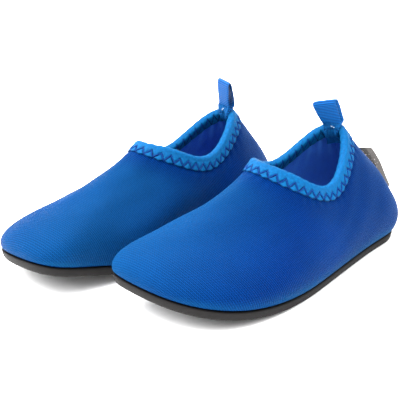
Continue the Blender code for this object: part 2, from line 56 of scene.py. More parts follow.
TURN = 2 * math.pi

# ---------------------------------------------------------------- The shoe's shape

# This is the CAD source's surface, with a fuller heel and a collar that is thinner and a little higher.

RIB_STEPS = 150
ANGLE_STEP = 0.01
OUTER_EDGE = ((0, 0), (18.3, 6.8), (22.6, 24), (28.3, 63), (32.6, 99), (28.7, 127), (15.4, 144.3))
TOE_EDGE = ((-6.6, 150), (-22.8, 145.6), (-24.9, 127))
INNER_EDGE = ((-26.9, 105), (-22.2, 63), (-21.9, 25.5), (-13.3, 6.8))
OUTLINE_SAMPLES = 361
SOLE_THICKNESS = 4.2
SPRING_START = 79.5
SPRING_END = 150.0
TOE_SPRING = 10.4
INNER_LIFT = 5.2
LIFT_WIDTH = 60.0
MOST_LIFT = 1.2
AXIS_OUTWARD = 1.5
AXIS_BACK = 25.0
AXIS_FRONT = 120.0

COLLAR_BACK = 22.4
COLLAR_FRONT = 76.9
COLLAR_SKEW = -0.127
COLLAR_SIDE_FORWARD = 1.0
COLLAR_MIDDLE = -3.0
COLLAR_OUTER_HALF = 18.4
COLLAR_INNER_HALF = 15.2
COLLAR_POINT = 0.112
COLLAR_ROUNDING = 0.05
COLLAR_DIP_FRONT = 4.4
COLLAR_DIP = 2.3
COLLAR_DIP_SKEW = -1.9

# Ribs of the upper are cubic curves. Each row is (toe, outer side, inner side, heel).
COLLAR_HEIGHT = (51.6, 38.4, 42.3, 55.9)
LOW_HANDLE_UP = (15.1, 12.5, 14.2, 14.1)
LOW_HANDLE_OUT = (5.5, 8.7, 6.2, 11.6)
HIGH_HANDLE = (39.4, 13.7, 13.5, 20.0)
LEAN = (0.0, 0.42, 0.38, 0.64)
VAMP_SLOPE = -0.63

# Layers at the collar, as depths inside the outer face, and distances down a rib from the collar's edge.
GAP = 0.3
BINDING = 0.9
SHELL_INSIDE = 1.85
LINING_OUTSIDE = 2.15
LINING_INSIDE = 2.7
COLLAR_DEPTH = 3.7
FOLD_RADIUS = COLLAR_DEPTH / 2
FOLD_DOWN = FOLD_RADIUS
BINDING_END = 7.2
INNER_BINDING_END = 6.6

PLACES = {"left": (32.0, 75.95), "right": (-26.2, 62.25)}
TURNS = {"left": math.pi, "right": math.radians(176.6)}


def read_line(wanted, keys, line):
    """Points on a line of points, where its keys reach the wanted values."""
    return np.column_stack([np.interp(wanted, keys, line[:, axis]) for axis in range(3)])


def closed_spline(corners):
    """A smooth closed curve through the corners, and the corners' parameters on it."""
    corners = np.array(corners, float)
    count = len(corners)
    following = np.roll(corners, -1, axis=0)
    gaps = np.sqrt(np.linalg.norm(following - corners, axis=1))
    slopes = (following - corners) / gaps[:, None]
    system = np.zeros((count, count))
    for i in range(count):
        system[i, i - 1] += gaps[i - 1]
        system[i, i] += 2 * (gaps[i - 1] + gaps[i])
        system[i, (i + 1) % count] += gaps[i]
    bends = np.linalg.solve(system, 6 * (slopes - np.roll(slopes, 1, axis=0)))
    knots = np.concatenate(([0.0], np.cumsum(gaps)))

    def at(parameters):
        wrapped = np.mod(parameters, knots[-1])
        part = np.clip(np.searchsorted(knots, wrapped, side="right") - 1, 0, count - 1)
        after = (part + 1) % count
        gap = gaps[part][:, None]
        along = wrapped[:, None] - knots[part][:, None]
        back = gap - along
        curved = (bends[part] * back**3 + bends[after] * along**3) / (6 * gap)
        from_start = (corners[part] / gap - bends[part] * gap / 6) * back
        from_end = (corners[after] / gap - bends[after] * gap / 6) * along
        return curved + from_start + from_end

    return at, knots


SOLE_CURVE, SOLE_KNOTS = closed_spline(OUTER_EDGE + TOE_EDGE + INNER_EDGE)
TOE_KNOT = SOLE_KNOTS[len(OUTER_EDGE)]


def edge_plan(angles):
    """Sole edge points from above. Angles run from the toe by the outer side to the heel and on."""
    angles = np.mod(angles, TURN)
    outer = TOE_KNOT * (1 - angles / math.pi)
    inner = TOE_KNOT + (SOLE_KNOTS[-1] - TOE_KNOT) * (2 - angles / math.pi)
    return SOLE_CURVE(np.where(angles <= math.pi, outer, inner))


def ground(plan):
    """Height of the sole's underside: flat to the ball of the foot, then rising to the toe."""
    rise = np.clip((plan[..., 1] - SPRING_START) / (SPRING_END - SPRING_START), 0, MOST_LIFT)
    tilt = np.clip(0.5 - plan[..., 0] / LIFT_WIDTH, 0, MOST_LIFT)
    return TOE_SPRING * rise**2 + INNER_LIFT * rise * tilt


def on_sole(plan, height):
    return np.concatenate((plan, (ground(plan) + height)[..., None]), axis=-1)


def by_side(angles, values):
    """A value that runs smoothly between its (toe, outer side, inner side, heel) values."""
    toe, outer, inner, heel = values
    across = np.cos(angles)
    side = np.sin(angles)
    return across**2 * np.where(across > 0, toe, heel) + side**2 * np.where(side > 0, outer, inner)


def collar_edge(angles):
    across = np.cos(angles)
    side = np.sin(angles)
    share = (1 + np.cos(angles + COLLAR_SKEW * side)) / 2
    forward = COLLAR_BACK + (COLLAR_FRONT - COLLAR_BACK) * share + COLLAR_SIDE_FORWARD * side**2
    half = np.where(side > 0, COLLAR_OUTER_HALF, COLLAR_INNER_HALF)
    pointed = ((side**2 + COLLAR_ROUNDING) / (1 + COLLAR_ROUNDING)) ** COLLAR_POINT
    outward = COLLAR_MIDDLE + half * side * pointed
    height = by_side(angles, COLLAR_HEIGHT) + COLLAR_DIP_FRONT * across * side**2
    height += (COLLAR_DIP + COLLAR_DIP_SKEW * across) * np.sin(2 * angles) ** 2
    return np.column_stack((outward, forward, height))


def unit(vectors):
    return vectors / np.linalg.norm(vectors, axis=-1, keepdims=True)


def run_along(line):
    """Distance along a line of points from its first one."""
    return np.concatenate(([0.0], np.cumsum(np.linalg.norm(np.diff(line, axis=0), axis=1))))


def rib_points(angles):
    """Grid of points on the upper's outer face, one column an angle, from the collar down to the sole."""
    edge = edge_plan(angles)
    ahead = edge_plan(angles + ANGLE_STEP) - edge_plan(angles - ANGLE_STEP)
    out = unit(np.column_stack((-ahead[:, 1], ahead[:, 0], np.zeros(len(angles)))))
    foot = on_sole(edge, SOLE_THICKNESS)
    top = collar_edge(angles)
    low = foot + out * by_side(angles, LOW_HANDLE_OUT)[:, None]
    low[:, 2] += by_side(angles, LOW_HANDLE_UP)
    lean = by_side(angles, LEAN)
    down = np.column_stack((np.sin(angles) * lean, np.cos(angles) * lean, -np.ones(len(angles))))
    front = (np.clip(np.cos(angles), 0, 1) ** 2)[:, None]
    down = unit(down * (1 - front) + np.array((0.0, 1.0, VAMP_SLOPE)) * front)
    high = top + down * by_side(angles, HIGH_HANDLE)[:, None]
    here = np.linspace(0, 1, RIB_STEPS)[:, None, None]
    rest = 1 - here
    return rest**3 * top + 3 * rest**2 * here * high + 3 * rest * here**2 * low + here**3 * foot


class Skin:
    """The upper's outer face at some angles, measured along its ribs from the collar's edge."""

    def __init__(self, angles):
        self.angles = np.array(angles, float)
        self.points = rib_points(self.angles)
        along = np.gradient(self.points, axis=0)
        around = rib_points(self.angles + ANGLE_STEP) - rib_points(self.angles - ANGLE_STEP)
        self.normals = unit(np.cross(around, along))
        self.tangents = unit(along)
        steps = np.linalg.norm(np.diff(self.points, axis=0), axis=2)
        self.downs = np.vstack((np.zeros(len(self.angles)), np.cumsum(steps, axis=0)))
        self.length = self.downs[-1]

    def sample(self, grid, wanted, keys=None):
        """Reads the grid column by column, where the keys reach the wanted values."""
        keys = self.downs if keys is None else keys
        wanted = np.broadcast_to(wanted, np.broadcast_shapes(np.shape(wanted), self.angles.shape))
        rows = wanted.reshape(-1, len(self.angles))
        found = np.empty((*rows.shape, 3))
        for i in range(len(self.angles)):
            for axis in range(3):
                found[:, i, axis] = np.interp(rows[:, i], keys[:, i], grid[:, i, axis])
        return found.reshape(*wanted.shape, 3)

    def at(self, down, depth):
        """Points this far down the ribs and this far inside the outer face."""
        normals = self.sample(self.normals, down)
        return self.sample(self.points, down) - normals * np.asarray(depth)[..., None]

    def at_height(self, height, depth):
        """Points this high above the sole's top and this far inside the outer face."""
        face = self.points - self.normals * depth
        above = face[:, :, 2] - ground(face[:, :, :2]) - SOLE_THICKNESS
        return self.sample(face[::-1], height, above[::-1])

    def sole_ring(self, inset, height):
        """Points inset from the sole's edge, this high above its underside."""
        plan = edge_plan(self.angles)
        axis = self.axis_plan(plan)
        return on_sole(plan + unit(axis - plan) * inset, height)

    def axis_plan(self, plan):
        middle = np.full(len(plan), AXIS_OUTWARD)
        return np.column_stack((middle, np.clip(plan[:, 1], AXIS_BACK, AXIS_FRONT)))

    def fold(self, turn, radius):
        """Points on the fold over the collar's edge: turn 0 is the outer face and pi the inner one."""
        middle = self.at(FOLD_DOWN, FOLD_RADIUS)
        normal = unit(self.sample(self.normals, FOLD_DOWN))
        upward = -unit(self.sample(self.tangents, FOLD_DOWN))
        turn, radius = np.asarray(turn)[..., None], np.asarray(radius)[..., None]
        return middle + radius * (normal * np.cos(turn) + upward * np.sin(turn))

    def band(self, along, lift):
        """Points on the collar's binding, this far along it from its outer lower edge over the fold
        and down the inner side, lifted this much off it."""
        outer = BINDING_END - FOLD_DOWN
        bend = math.pi * FOLD_RADIUS
        on_outer = self.at(BINDING_END - along, -lift)
        on_fold = self.fold(np.clip((along - outer) / FOLD_RADIUS, 0, math.pi), FOLD_RADIUS + lift)
        on_inner = self.at(FOLD_DOWN + along - outer - bend, COLLAR_DEPTH + lift)
        past_fold = (along > outer + bend)[..., None]
        return np.where((along < outer)[..., None], on_outer, np.where(past_fold, on_inner, on_fold))


def in_frame(side, points):
    """Turns drawing points of one shoe into the frame's metres."""
    points = np.array(points, float)
    if side == "left":
        points[..., 0] *= -1
    cos, sin = math.cos(TURNS[side]), math.sin(TURNS[side])
    place = PLACES[side]
    x = place[0] + points[..., 0] * cos - points[..., 1] * sin
    y = place[1] + points[..., 0] * sin + points[..., 1] * cos
    return np.stack((x, y, points[..., 2]), axis=-1) * MM


# ---------------------------------------------------------------- Places round the collar

COLLAR_SAMPLES = 1441
COLLAR_ANGLES = np.linspace(-math.pi, math.pi, COLLAR_SAMPLES)
COLLAR_LINE = collar_edge(COLLAR_ANGLES)
COLLAR_RUN = run_along(COLLAR_LINE)
COLLAR_LENGTH = COLLAR_RUN[-1]


def even_angles(shares):
    """Angles at these shares of the collar's length, from the back of the heel by the inner side."""
    return np.interp(shares, COLLAR_RUN / COLLAR_LENGTH, COLLAR_ANGLES)


def collar_share(angles):
    """The share of the collar's length at these angles."""
    wrapped = np.mod(np.asarray(angles) + math.pi, TURN) - math.pi
    return np.interp(wrapped, COLLAR_ANGLES, COLLAR_RUN / COLLAR_LENGTH)


def smooth(value, low, high):
    """0 below low, 1 above high, and smooth in between."""
    share = np.clip((value - low) / (high - low), 0, 1)
    return share * share * (3 - 2 * share)


def bump(value, middle, width):
    return np.exp(-(((value - middle) / width) ** 2))


def saw(phase):
    """A triangle wave: 0 at whole numbers and 1 halfway between them."""
    return 1 - np.abs(2 * (phase - np.floor(phase)) - 1)


def waves(angles, seed, count):
    """Smooth random waves round the shoe, between about -1 and 1."""
    draw = np.random.default_rng(seed)
    total = np.zeros(np.shape(angles))
    for k in range(1, count + 1):
        total += draw.normal() * np.sin(k * np.asarray(angles) + draw.uniform(0, TURN)) / math.sqrt(count)
    return total


# ---------------------------------------------------------------- Meshes


def grid_mesh(name, points, cloth, round_cols=True, round_rows=True, fans=(), fan_shift=0):
    """A mesh from a grid of points in metres. cloth holds texture coordinates in millimetres for each
    grid corner, with one more row or column where the grid closes on itself. fans name the first row,
    0, or the last, 1, to be filled straight across."""
    rows, cols = points.shape[:2]
    last_row = rows if round_rows else rows - 1
    last_col = cols if round_cols else cols - 1
    r, c = np.meshgrid(np.arange(last_row), np.arange(last_col), indexing="ij")
    corners = [(r, c), (r, c + 1), (r + 1, c + 1), (r + 1, c)]
    quads = np.stack([(i % rows) * cols + j % cols for i, j in corners], axis=-1).reshape(-1, 4)
    faces = quads.tolist()
    for row in fans:
        first = (rows - 1) * cols if row else 0
        faces += across_faces(first, cols, fan_shift)
    mesh = bpy.data.meshes.new(name)
    mesh.from_pydata(points.reshape(-1, 3).tolist(), [], faces)
    layer = mesh.uv_layers.new(name="cloth")
    values = np.zeros((len(mesh.loops), 2), np.float32)
    values[: len(quads) * 4] = np.stack([cloth[i, j] for i, j in corners], axis=-2).reshape(-1, 2)
    layer.data.foreach_set("uv", values.ravel())
    facing_out(mesh)
    mesh.shade_smooth()
    return mesh


def across_faces(first, count, shift):
    """Faces that fill a ring of vertices with strips straight across it, from i to -i - shift."""
    faces = []
    for i in range(count // 2 - shift):
        corners = [i, i + 1, count - i - 1 - shift, (count - i - shift) % count]
        faces.append([first + corner for corner in dict.fromkeys(corners)])
    return faces


def facing_out(mesh):
    bm = bmesh.new()
    bm.from_mesh(mesh)
    bmesh.ops.recalc_face_normals(bm, faces=bm.faces)
    bm.to_mesh(mesh)
    bm.free()


def add_float(mesh, name, values):
    attribute = mesh.attributes.new(name, "FLOAT", "POINT")
    attribute.data.foreach_set("value", np.asarray(values, np.float32).ravel())


def link_object(name, data):
    made = bpy.data.objects.new(name, data)
    bpy.context.scene.collection.objects.link(made)
    return made


def add_object(name, mesh, material):
    mesh.materials.append(material)
    return link_object(name, mesh)


def add_to_shoe(side, name, mesh, material, node, in_its_place=True):
    """Adds a piece that rides its shoe and, when in_its_place is set, hides the CAD node it stands in
    for.
    """
    piece = add_object(f"{side}_{name}", mesh, MATERIALS[material])
    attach(piece, f"{side}_shoe")
    if in_its_place:
        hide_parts(f"{side}_{node}")
    return piece


def tube_rings(line, radius, sides):
    """Rings round a line of points, carried along it without twisting, and half as wide at its ends."""
    ahead = unit(np.gradient(line, axis=0))
    side = np.cross(ahead[0], (0.0, 0.0, 1.0) if abs(ahead[0][2]) < 0.9 else (1.0, 0.0, 0.0))
    first = []
    for forward in ahead:
        side = unit(side - forward * (side @ forward))
        first.append(side)
    first = np.array(first)
    second = np.cross(ahead, first)
    turns = (np.arange(sides) / sides * TURN)[:, None]
    thick = np.full(len(line), radius)
    thick[0] = thick[-1] = radius / 2
    ring = first[:, None] * np.cos(turns) + second[:, None] * np.sin(turns)
    return line[:, None] + ring * thick[:, None, None]


def bar_faces(base, rings, sides):
    """Faces round a stack of rings of vertices, then one across each end."""
    faces = []
    for low in range(base, base + (rings - 1) * sides, sides):
        for j in range(sides):
            k = (j + 1) % sides
            faces.append((low + j, low + k, low + sides + k, low + sides + j))
    return faces + [range(low, low + sides) for low in (base, base + (rings - 1) * sides)]


def tube_mesh(name, lines, radius, sides):
    """Round threads along open lines of points in metres, in one mesh with closed ends."""
    verts, faces, uvs = [], [], []
    for line in lines:
        run = run_along(line) / MM
        for here, after in zip(run, run[1:]):
            for j in range(sides):
                uvs += [(here, j), (here, j + 1), (after, j + 1), (after, j)]
        uvs += [(end, j) for end in (run[0], run[-1]) for j in range(sides)]
        faces += bar_faces(len(verts), len(line), sides)
        verts += tube_rings(line, radius, sides).reshape(-1, 3).tolist()
    mesh = bpy.data.meshes.new(name)
    mesh.from_pydata(verts, [], faces)
    layer = mesh.uv_layers.new(name="cloth")
    layer.data.foreach_set("uv", np.array(uvs, np.float32).ravel())
    facing_out(mesh)
    mesh.shade_smooth()
    return mesh


def flat_pattern(points):
    """Unrolls an open grid of points in millimetres into a flat pattern of true size, with its
    lengthwise grain along V, and returns each grid point's place on it."""
    rows, cols = points.shape[:2]
    mesh = grid_mesh("pattern", points, np.zeros((rows, cols, 2)), round_cols=False, round_rows=False)
    piece = link_object("pattern", mesh)
    bpy.context.view_layer.objects.active = piece
    piece.select_set(True)
    bpy.ops.object.mode_set(mode="EDIT")
    bpy.ops.mesh.select_all(action="SELECT")
    bpy.ops.uv.unwrap(method="ANGLE_BASED", margin=0.0, correct_aspect=False)
    bpy.ops.object.mode_set(mode="OBJECT")
    loops = np.empty(len(mesh.loops), np.int32)
    mesh.loops.foreach_get("vertex_index", loops)
    uv = np.empty(len(mesh.loops) * 2, np.float32)
    mesh.uv_layers["cloth"].data.foreach_get("uv", uv)
    flat = np.zeros((rows * cols, 2))
    flat[loops] = uv.reshape(-1, 2)
    flat = flat.reshape(rows, cols, 2)
    bpy.data.objects.remove(piece)
    bpy.data.meshes.remove(mesh)
    real = np.linalg.norm(np.diff(points, axis=1), axis=2).sum()
    flat *= real / np.linalg.norm(np.diff(flat, axis=1), axis=2).sum()
    grain = flat[-1, cols // 2] - flat[0, cols // 2]
    grain /= np.linalg.norm(grain)
    across = np.array((grain[1], -grain[0]))
    return np.stack((flat @ across, flat @ grain), axis=-1)


def finer_pattern(coarse, rows, cols, fine_rows, fine_cols):
    """Reads a flat pattern between the points it was made at."""
    found = []
    for values in (coarse[:, :, 0], coarse[:, :, 1]):
        by_row = np.array([np.interp(fine_cols, cols, row) for row in values])
        found.append(np.array([np.interp(fine_rows, rows, column) for column in by_row.T]).T)
    return np.stack(found, axis=-1)


# ---------------------------------------------------------------- Materials


class Nodes:
    """A short way to write a material's node tree."""

    def __init__(self, name):
        self.material = bpy.data.materials.new(name)
        self.material.use_nodes = True
        self.tree = self.material.node_tree
        self.shader = self.tree.nodes["Principled BSDF"]

    def add(self, kind, inputs=(), **settings):
        node = self.tree.nodes.new(kind)
        for key, value in settings.items():
            setattr(node, key, value)
        for key, value in dict(inputs).items():
            self.feed(node.inputs[key], value)
        return node

    def feed(self, socket, value):
        if isinstance(value, bpy.types.NodeSocket):
            self.tree.links.new(value, socket)
        else:
            socket.default_value = value

    def math(self, operation, first, second=0.0, third=0.0):
        node = self.add("ShaderNodeMath", operation=operation)
        for socket, value in zip(node.inputs, (first, second, third)):
            self.feed(socket, value)
        return node.outputs[0]

    def times(self, first, second):
        return self.math("MULTIPLY", first, second)

    def times_add(self, first, second, third):
        return self.math("MULTIPLY_ADD", first, second, third)

    def wave(self, value, period=1.0):
        return self.math("SINE", self.times(value, TURN / period))

    def cloth(self):
        """The two texture coordinates in millimetres."""
        node = self.add("ShaderNodeUVMap", uv_map="cloth")
        split = self.add("ShaderNodeSeparateXYZ", {"Vector": node.outputs[0]})
        return node.outputs[0], split.outputs[0], split.outputs[1]

    def place(self):
        """Object space, in millimetres."""
        node = self.add("ShaderNodeTexCoord")
        scale = self.add("ShaderNodeVectorMath", {0: node.outputs["Object"]}, operation="SCALE")
        scale.inputs["Scale"].default_value = 1 / MM
        return scale.outputs[0]

    def noise(self, vector, scale, detail=2.0, roughness=0.5):
        values = {"Vector": vector, "Scale": scale, "Detail": detail, "Roughness": roughness}
        return self.add("ShaderNodeTexNoise", values).outputs[0]

    def attribute(self, name):
        return self.add("ShaderNodeAttribute", attribute_name=name).outputs["Fac"]

    def spread(self, value, low, high, to_low=0.0, to_high=1.0):
        values = {"Value": value, "From Min": low, "From Max": high, "To Min": to_low, "To Max": to_high}
        return self.add("ShaderNodeMapRange", values).outputs[0]

    def mix(self, share, first, second):
        node = self.add("ShaderNodeMix", data_type="RGBA")
        self.feed(node.inputs[0], share)
        for socket, colour in zip(node.inputs[6:8], (first, second)):
            self.feed(socket, colour if isinstance(colour, bpy.types.NodeSocket) else (*colour, 1.0))
        return node.outputs[2]

    def surface(self, colour, roughness, height, relief, **constants):
        """Feeds the shader. height is in millimetres, and the constants go on its own sockets."""
        self.feed(self.shader.inputs["Base Color"], colour)
        self.feed(self.shader.inputs["Roughness"], roughness)
        for key, value in constants.items():
            self.shader.inputs[key.replace("_", " ")].default_value = value
        bump_node = self.add("ShaderNodeBump", {"Height": height, "Strength": relief, "Distance": MM})
        self.feed(self.shader.inputs["Normal"], bump_node.outputs[0])
        return self.material


AZURE_SHEEN = (0.05, 0.5, 1.0, 1.0)
KNIT_SHEEN = (0.03, 0.4, 1.0, 1.0)
KNIT_GLOSS = (0.1, 0.45, 1.0, 1.0)
THREAD_SHEEN = (0.1, 0.5, 1.0, 1.0)
CORD_PITCH = 0.62
PICK_PITCH = 0.5
YARN_PITCH = 0.33
THREAD_SIDES = 8
PLIES_PER_MM = 2.2
LABEL_WEAVE = 0.3
LABEL_WARP = 0.22
FLECK_ROWS = 2.6


def knit_height(n, u, v, wale, course):
    """The face of a fine jersey: columns of small V stitches, from 0 to 1."""
    column = n.math("FRACT", n.math("DIVIDE", u, wale))
    off_middle = n.math("ABSOLUTE", n.math("SUBTRACT", column, 0.5))
    row = n.math("ADD", n.math("DIVIDE", v, course), off_middle)
    stitch = n.times_add(n.wave(row), 0.35, 0.65)
    return n.times(n.wave(off_middle), stitch)


def make_knit(name, dark, light, rim, wale, course, relief, sheen=0.12, rough=0.62):
    """Stretch knit: fine stitches, soft random changes of tone, and the rim colour mixed in where the rim
    attribute is set, which is painted light on the upper and the lining.
    """
    n = Nodes(name)
    vector, u, v = n.cloth()
    height = knit_height(n, u, v, wale, course)
    melange = n.noise(vector, 1.6, 3.0, 0.7)
    patches = n.noise(n.place(), 0.028, 3.0, 0.55)
    yarn = n.times_add(height, 0.8, n.times(melange, 0.42))
    shade = n.math("ADD", yarn, n.times_add(patches, 0.35, -0.1))
    weave = n.spread(shade, 0.33, 0.9)
    colour = n.mix(weave, dark, light)
    # Painted light: the rim attribute mixes in the lighter rim colour.
    lit = n.times(n.attribute("rim"), n.spread(weave, 0.0, 1.0, 0.42, 0.92))
    colour = n.mix(lit, colour, rim)
    roughness = n.spread(melange, 0.3, 0.7, rough - 0.06, rough + 0.08)
    fibres = n.noise(vector, 5.0, 2.0, 0.6)
    surface_height = n.times_add(height, 0.09, n.times(fibres, 0.03))
    return n.surface(
        colour, roughness, surface_height, relief, Sheen_Weight=sheen, Sheen_Roughness=0.4,
        Sheen_Tint=KNIT_SHEEN, Specular_IOR_Level=0.03, Specular_Tint=KNIT_GLOSS,
    )


def make_binding_cloth(name, dark, light):
    """Ribbed elastic tape: fine cords run along it, over a tight weave, with painted shade darkening it
    where the rim attribute is set.
    """
    n = Nodes(name)
    vector, u, v = n.cloth()
    cords = n.wave(v, CORD_PITCH)
    picks = n.wave(n.times_add(v, 0.5, u), PICK_PITCH)
    height = n.times_add(n.times(cords, picks), 0.25, 0.5)
    mottle = n.noise(vector, 0.9, 3.0, 0.65)
    shade = n.math("ADD", n.times(height, 0.45), n.times(mottle, 0.85))
    # Painted shade: the rim attribute darkens the tape.
    shade = n.math("SUBTRACT", shade, n.times(n.attribute("rim"), 0.55))
    colour = n.mix(n.spread(shade, 0.2, 0.85), dark, light)
    return n.surface(
        colour, n.spread(mottle, 0.3, 0.7, 0.5, 0.66), n.times(height, 0.16), 0.8, Sheen_Weight=0.1,
        Sheen_Roughness=0.35, Sheen_Tint=AZURE_SHEEN, Specular_IOR_Level=0.05,
    )


def make_ribbon(name, dark, light):
    """Grosgrain ribbon. Its cross ribs are in the mesh; this adds the yarns and painted shade that
    darkens the grooves between the ribs.
    """
    n = Nodes(name)
    vector, u, _ = n.cloth()
    mottle = n.noise(vector, 1.2, 3.0, 0.6)
    shade = n.times_add(n.attribute("rim"), 0.95, n.times(mottle, 0.3))
    colour = n.mix(n.spread(shade, 0.2, 1.05), dark, light)
    height = n.times_add(n.wave(u, YARN_PITCH), 0.0012, n.times(mottle, 0.03))
    return n.surface(
        colour, n.spread(mottle, 0.3, 0.7, 0.42, 0.58), height, 0.8, Sheen_Weight=0.08,
        Sheen_Roughness=0.3, Sheen_Tint=AZURE_SHEEN, Specular_IOR_Level=0.08,
    )


def make_thread(name, dark, light):
    """Twisted thread: plies that wind round it."""
    n = Nodes(name)
    _, u, v = n.cloth()
    plies = n.wave(n.times_add(u, PLIES_PER_MM, n.math("DIVIDE", v, THREAD_SIDES / 2)))
    height = n.times_add(plies, 0.5, 0.5)
    fuzz = n.noise(n.place(), 2.0, 2.0, 0.6)
    colour = n.mix(n.times_add(fuzz, 0.4, n.times(height, 0.5)), dark, light)
    return n.surface(
        colour, n.spread(fuzz, 0.3, 0.7, 0.4, 0.6), n.times(height, 0.06), 0.8, Sheen_Weight=0.05,
        Sheen_Roughness=0.3, Sheen_Tint=THREAD_SHEEN, Specular_IOR_Level=0.06,
    )


def make_rubber(name, dark, light):
    """Matt outsole rubber: fine grain, cloudy tone, and patches that lighten it towards the lower edge.
    """
    n = Nodes(name)
    place = n.place()
    grain = n.noise(place, 3.2, 3.0, 0.65)
    clouds = n.noise(place, 0.05, 4.0, 0.6)
    specks = n.spread(n.noise(place, 1.4, 2.0, 0.7), 0.66, 0.74)
    # Lighter patches, strongest towards the lower edge where the rim attribute is high.
    lower_edge_patches = n.times(n.attribute("rim"), n.spread(n.noise(place, 0.35, 4.0, 0.7), 0.42, 0.62))
    shade = n.times_add(clouds, 0.7, n.times(grain, 0.4))
    shade = n.math("ADD", shade, n.times_add(lower_edge_patches, 0.5, n.times(specks, 0.25)))
    colour = n.mix(n.spread(shade, 0.3, 1.2), dark, light)
    height = n.times_add(grain, 0.05, n.times(n.noise(place, 0.8, 2.0), 0.05))
    return n.surface(colour, n.spread(grain, 0.3, 0.7, 0.58, 0.78), height, 0.9, Specular_IOR_Level=0.15)


def make_label_cloth(name):
    """Woven satin label in warm grey, with rows of small pale flecks in place of any lettering, painted
    shade towards its sewn edge and a painted highlight along its fold.
    """
    n = Nodes(name)
    vector, u, v = n.cloth()
    weave = n.wave(n.times_add(v, 0.5, u), LABEL_WEAVE)
    mottle = n.noise(vector, 0.6, 3.0, 0.6)
    shade = n.times_add(weave, 0.12, n.times_add(mottle, 0.5, 0.3))
    colour = n.mix(shade, (0.0032, 0.0024, 0.0021), (0.0165, 0.0135, 0.012))
    # Painted shade towards the sewn edge and a painted highlight along the fold, from the edge attribute.
    colour = n.mix(n.times(n.attribute("edge"), 0.7), (0.0022, 0.0019, 0.0023), colour)
    colour = n.mix(n.spread(n.attribute("edge"), 1.3, 1.5), colour, (0.075, 0.066, 0.061))
    cells = n.add("ShaderNodeTexVoronoi", {"Vector": vector, "Scale": 0.75})
    dots = n.spread(cells.outputs["Distance"], 0.34, 0.2)
    in_rows = n.spread(n.wave(u, FLECK_ROWS), 0.1, 0.4)
    flecks = n.times(n.times(dots, in_rows), n.attribute("rim"))
    colour = n.mix(n.times(flecks, 0.75), colour, (0.42, 0.36, 0.34))
    height = n.times_add(n.wave(u, LABEL_WARP), 0.012, n.times(flecks, 0.04))
    return n.surface(
        colour, n.spread(mottle, 0.3, 0.7, 0.42, 0.6), n.times_add(weave, 0.02, height), 0.9,
        Sheen_Weight=0.06, Sheen_Roughness=0.35, Specular_IOR_Level=0.2,
    )


def make_board(name):
    """Pressed fibre board."""
    n = Nodes(name)
    fibres = n.noise(n.place(), 1.1, 5.0, 0.7)
    colour = n.mix(n.spread(fibres, 0.3, 0.7), (0.36, 0.33, 0.28), (0.58, 0.55, 0.49))
    return n.surface(colour, 0.85, n.times(fibres, 0.08), 0.8, Specular_IOR_Level=0.2)


def make_floor_paint(name):
    n = Nodes(name)
    place = n.place()
    tone = n.spread(n.noise(place, 0.01, 3.0, 0.5), 0.3, 0.7)
    colour = n.mix(tone, (0.955, 0.955, 0.955), (0.975, 0.975, 0.975))
    return n.surface(colour, 0.8, n.times(n.noise(place, 1.5, 3.0), 0.02), 0.4, Specular_IOR_Level=0.1)


# Each knit's colours are dark, light and rim; on the upper and the lining the rim colour is painted
# light.
UPPER_BLUES = ((0.0, 0.0004, 0.010), (0.0004, 0.0215, 0.146), (0.0034, 0.054, 0.142))
LINING_BLUES = ((0.022, 0.090, 0.385), (0.046, 0.180, 0.69), (0.09, 0.32, 0.82))
SOCKLINER_BLUES = ((0.003, 0.010, 0.07), (0.010, 0.035, 0.2), (0.02, 0.06, 0.3))

# The knits' sizes are a wale and a course in millimetres.
MATERIALS = {
    "upper": make_knit("upper_knit", *UPPER_BLUES, 1.02, 0.9, 2.2),
    "lining": make_knit("lining_knit", *LINING_BLUES, 0.7, 0.6, 0.8, 0.1, 0.75),
    "sockliner": make_knit("sockliner_cloth", *SOCKLINER_BLUES, 0.9, 0.8, 1.0, 0.1, 0.8),
    "binding": make_binding_cloth("binding_tape", (0.0002, 0.009, 0.048), (0.0006, 0.078, 0.215)),
    "ribbon": make_ribbon("loop_ribbon", (0.0001, 0.004, 0.042), (0.0006, 0.072, 0.255)),
    "thread": make_thread("navy_thread", (0.0006, 0.011, 0.08), (0.0015, 0.034, 0.185)),
    "tack_thread": make_thread("azure_thread", (0.0006, 0.016, 0.085), (0.005, 0.12, 0.34)),
    "glint_thread": make_thread("glint_thread", (0.25, 0.36, 0.5), (0.5, 0.62, 0.75)),
    "rubber": make_rubber("outsole_rubber", (0.0016, 0.0013, 0.0013), (0.0074, 0.0061, 0.0059)),
    "label": make_label_cloth("label_satin"),
    "board": make_board("board_fibre"),
    "floor": make_floor_paint("floor_paint"),
}

# ---------------------------------------------------------------- Upper and lining

UPPER_COLS = 300
HEEL_COLS = 24
HEEL_CLUSTER = 0.085
UPPER_ROWS = 84
BACK_ROW_STEP = 4
UPPER_TOP = 4.4
UPPER_STOP = 0.9
UPPER_BEND = (0.35, 0.55)
UPPER_TUCK = (1.2, 0.22)
UPPER_MARGIN = 8.0
MARGIN_THICKNESS = 1.2
INNER_FOOT = GAP + 1.4
UPPER_FACE = 0.3
UPPER_UNDER_TAPE = BINDING - 0.25
UPPER_RISE_END = 10.2
PUCKER = 0.2
PUCKER_REACH = 5.0
SEAM_DEPTH = 0.45
SEAM_HALF = 0.55
HEEL_ANGLE_RADIUS = 17.0
ZIGZAGS = 38
PATTERN_COLS = 97
PATTERN_ROWS = 25
# A painted sheen that lightens the upper towards the sole, and a painted highlight on the vamp where the
# key light falls.
PAINTED_SHEEN_HEIGHT = 5.0
VAMP_HIGHLIGHT_TURN = math.radians(25)
VAMP_HIGHLIGHT = 0.62
VAMP_HIGHLIGHT_FALL = 1.5
PAINTED_SHEEN_FALL = 1.2
PAINTED_SHEEN_VARIES = 0.25
SWELL = 0.28


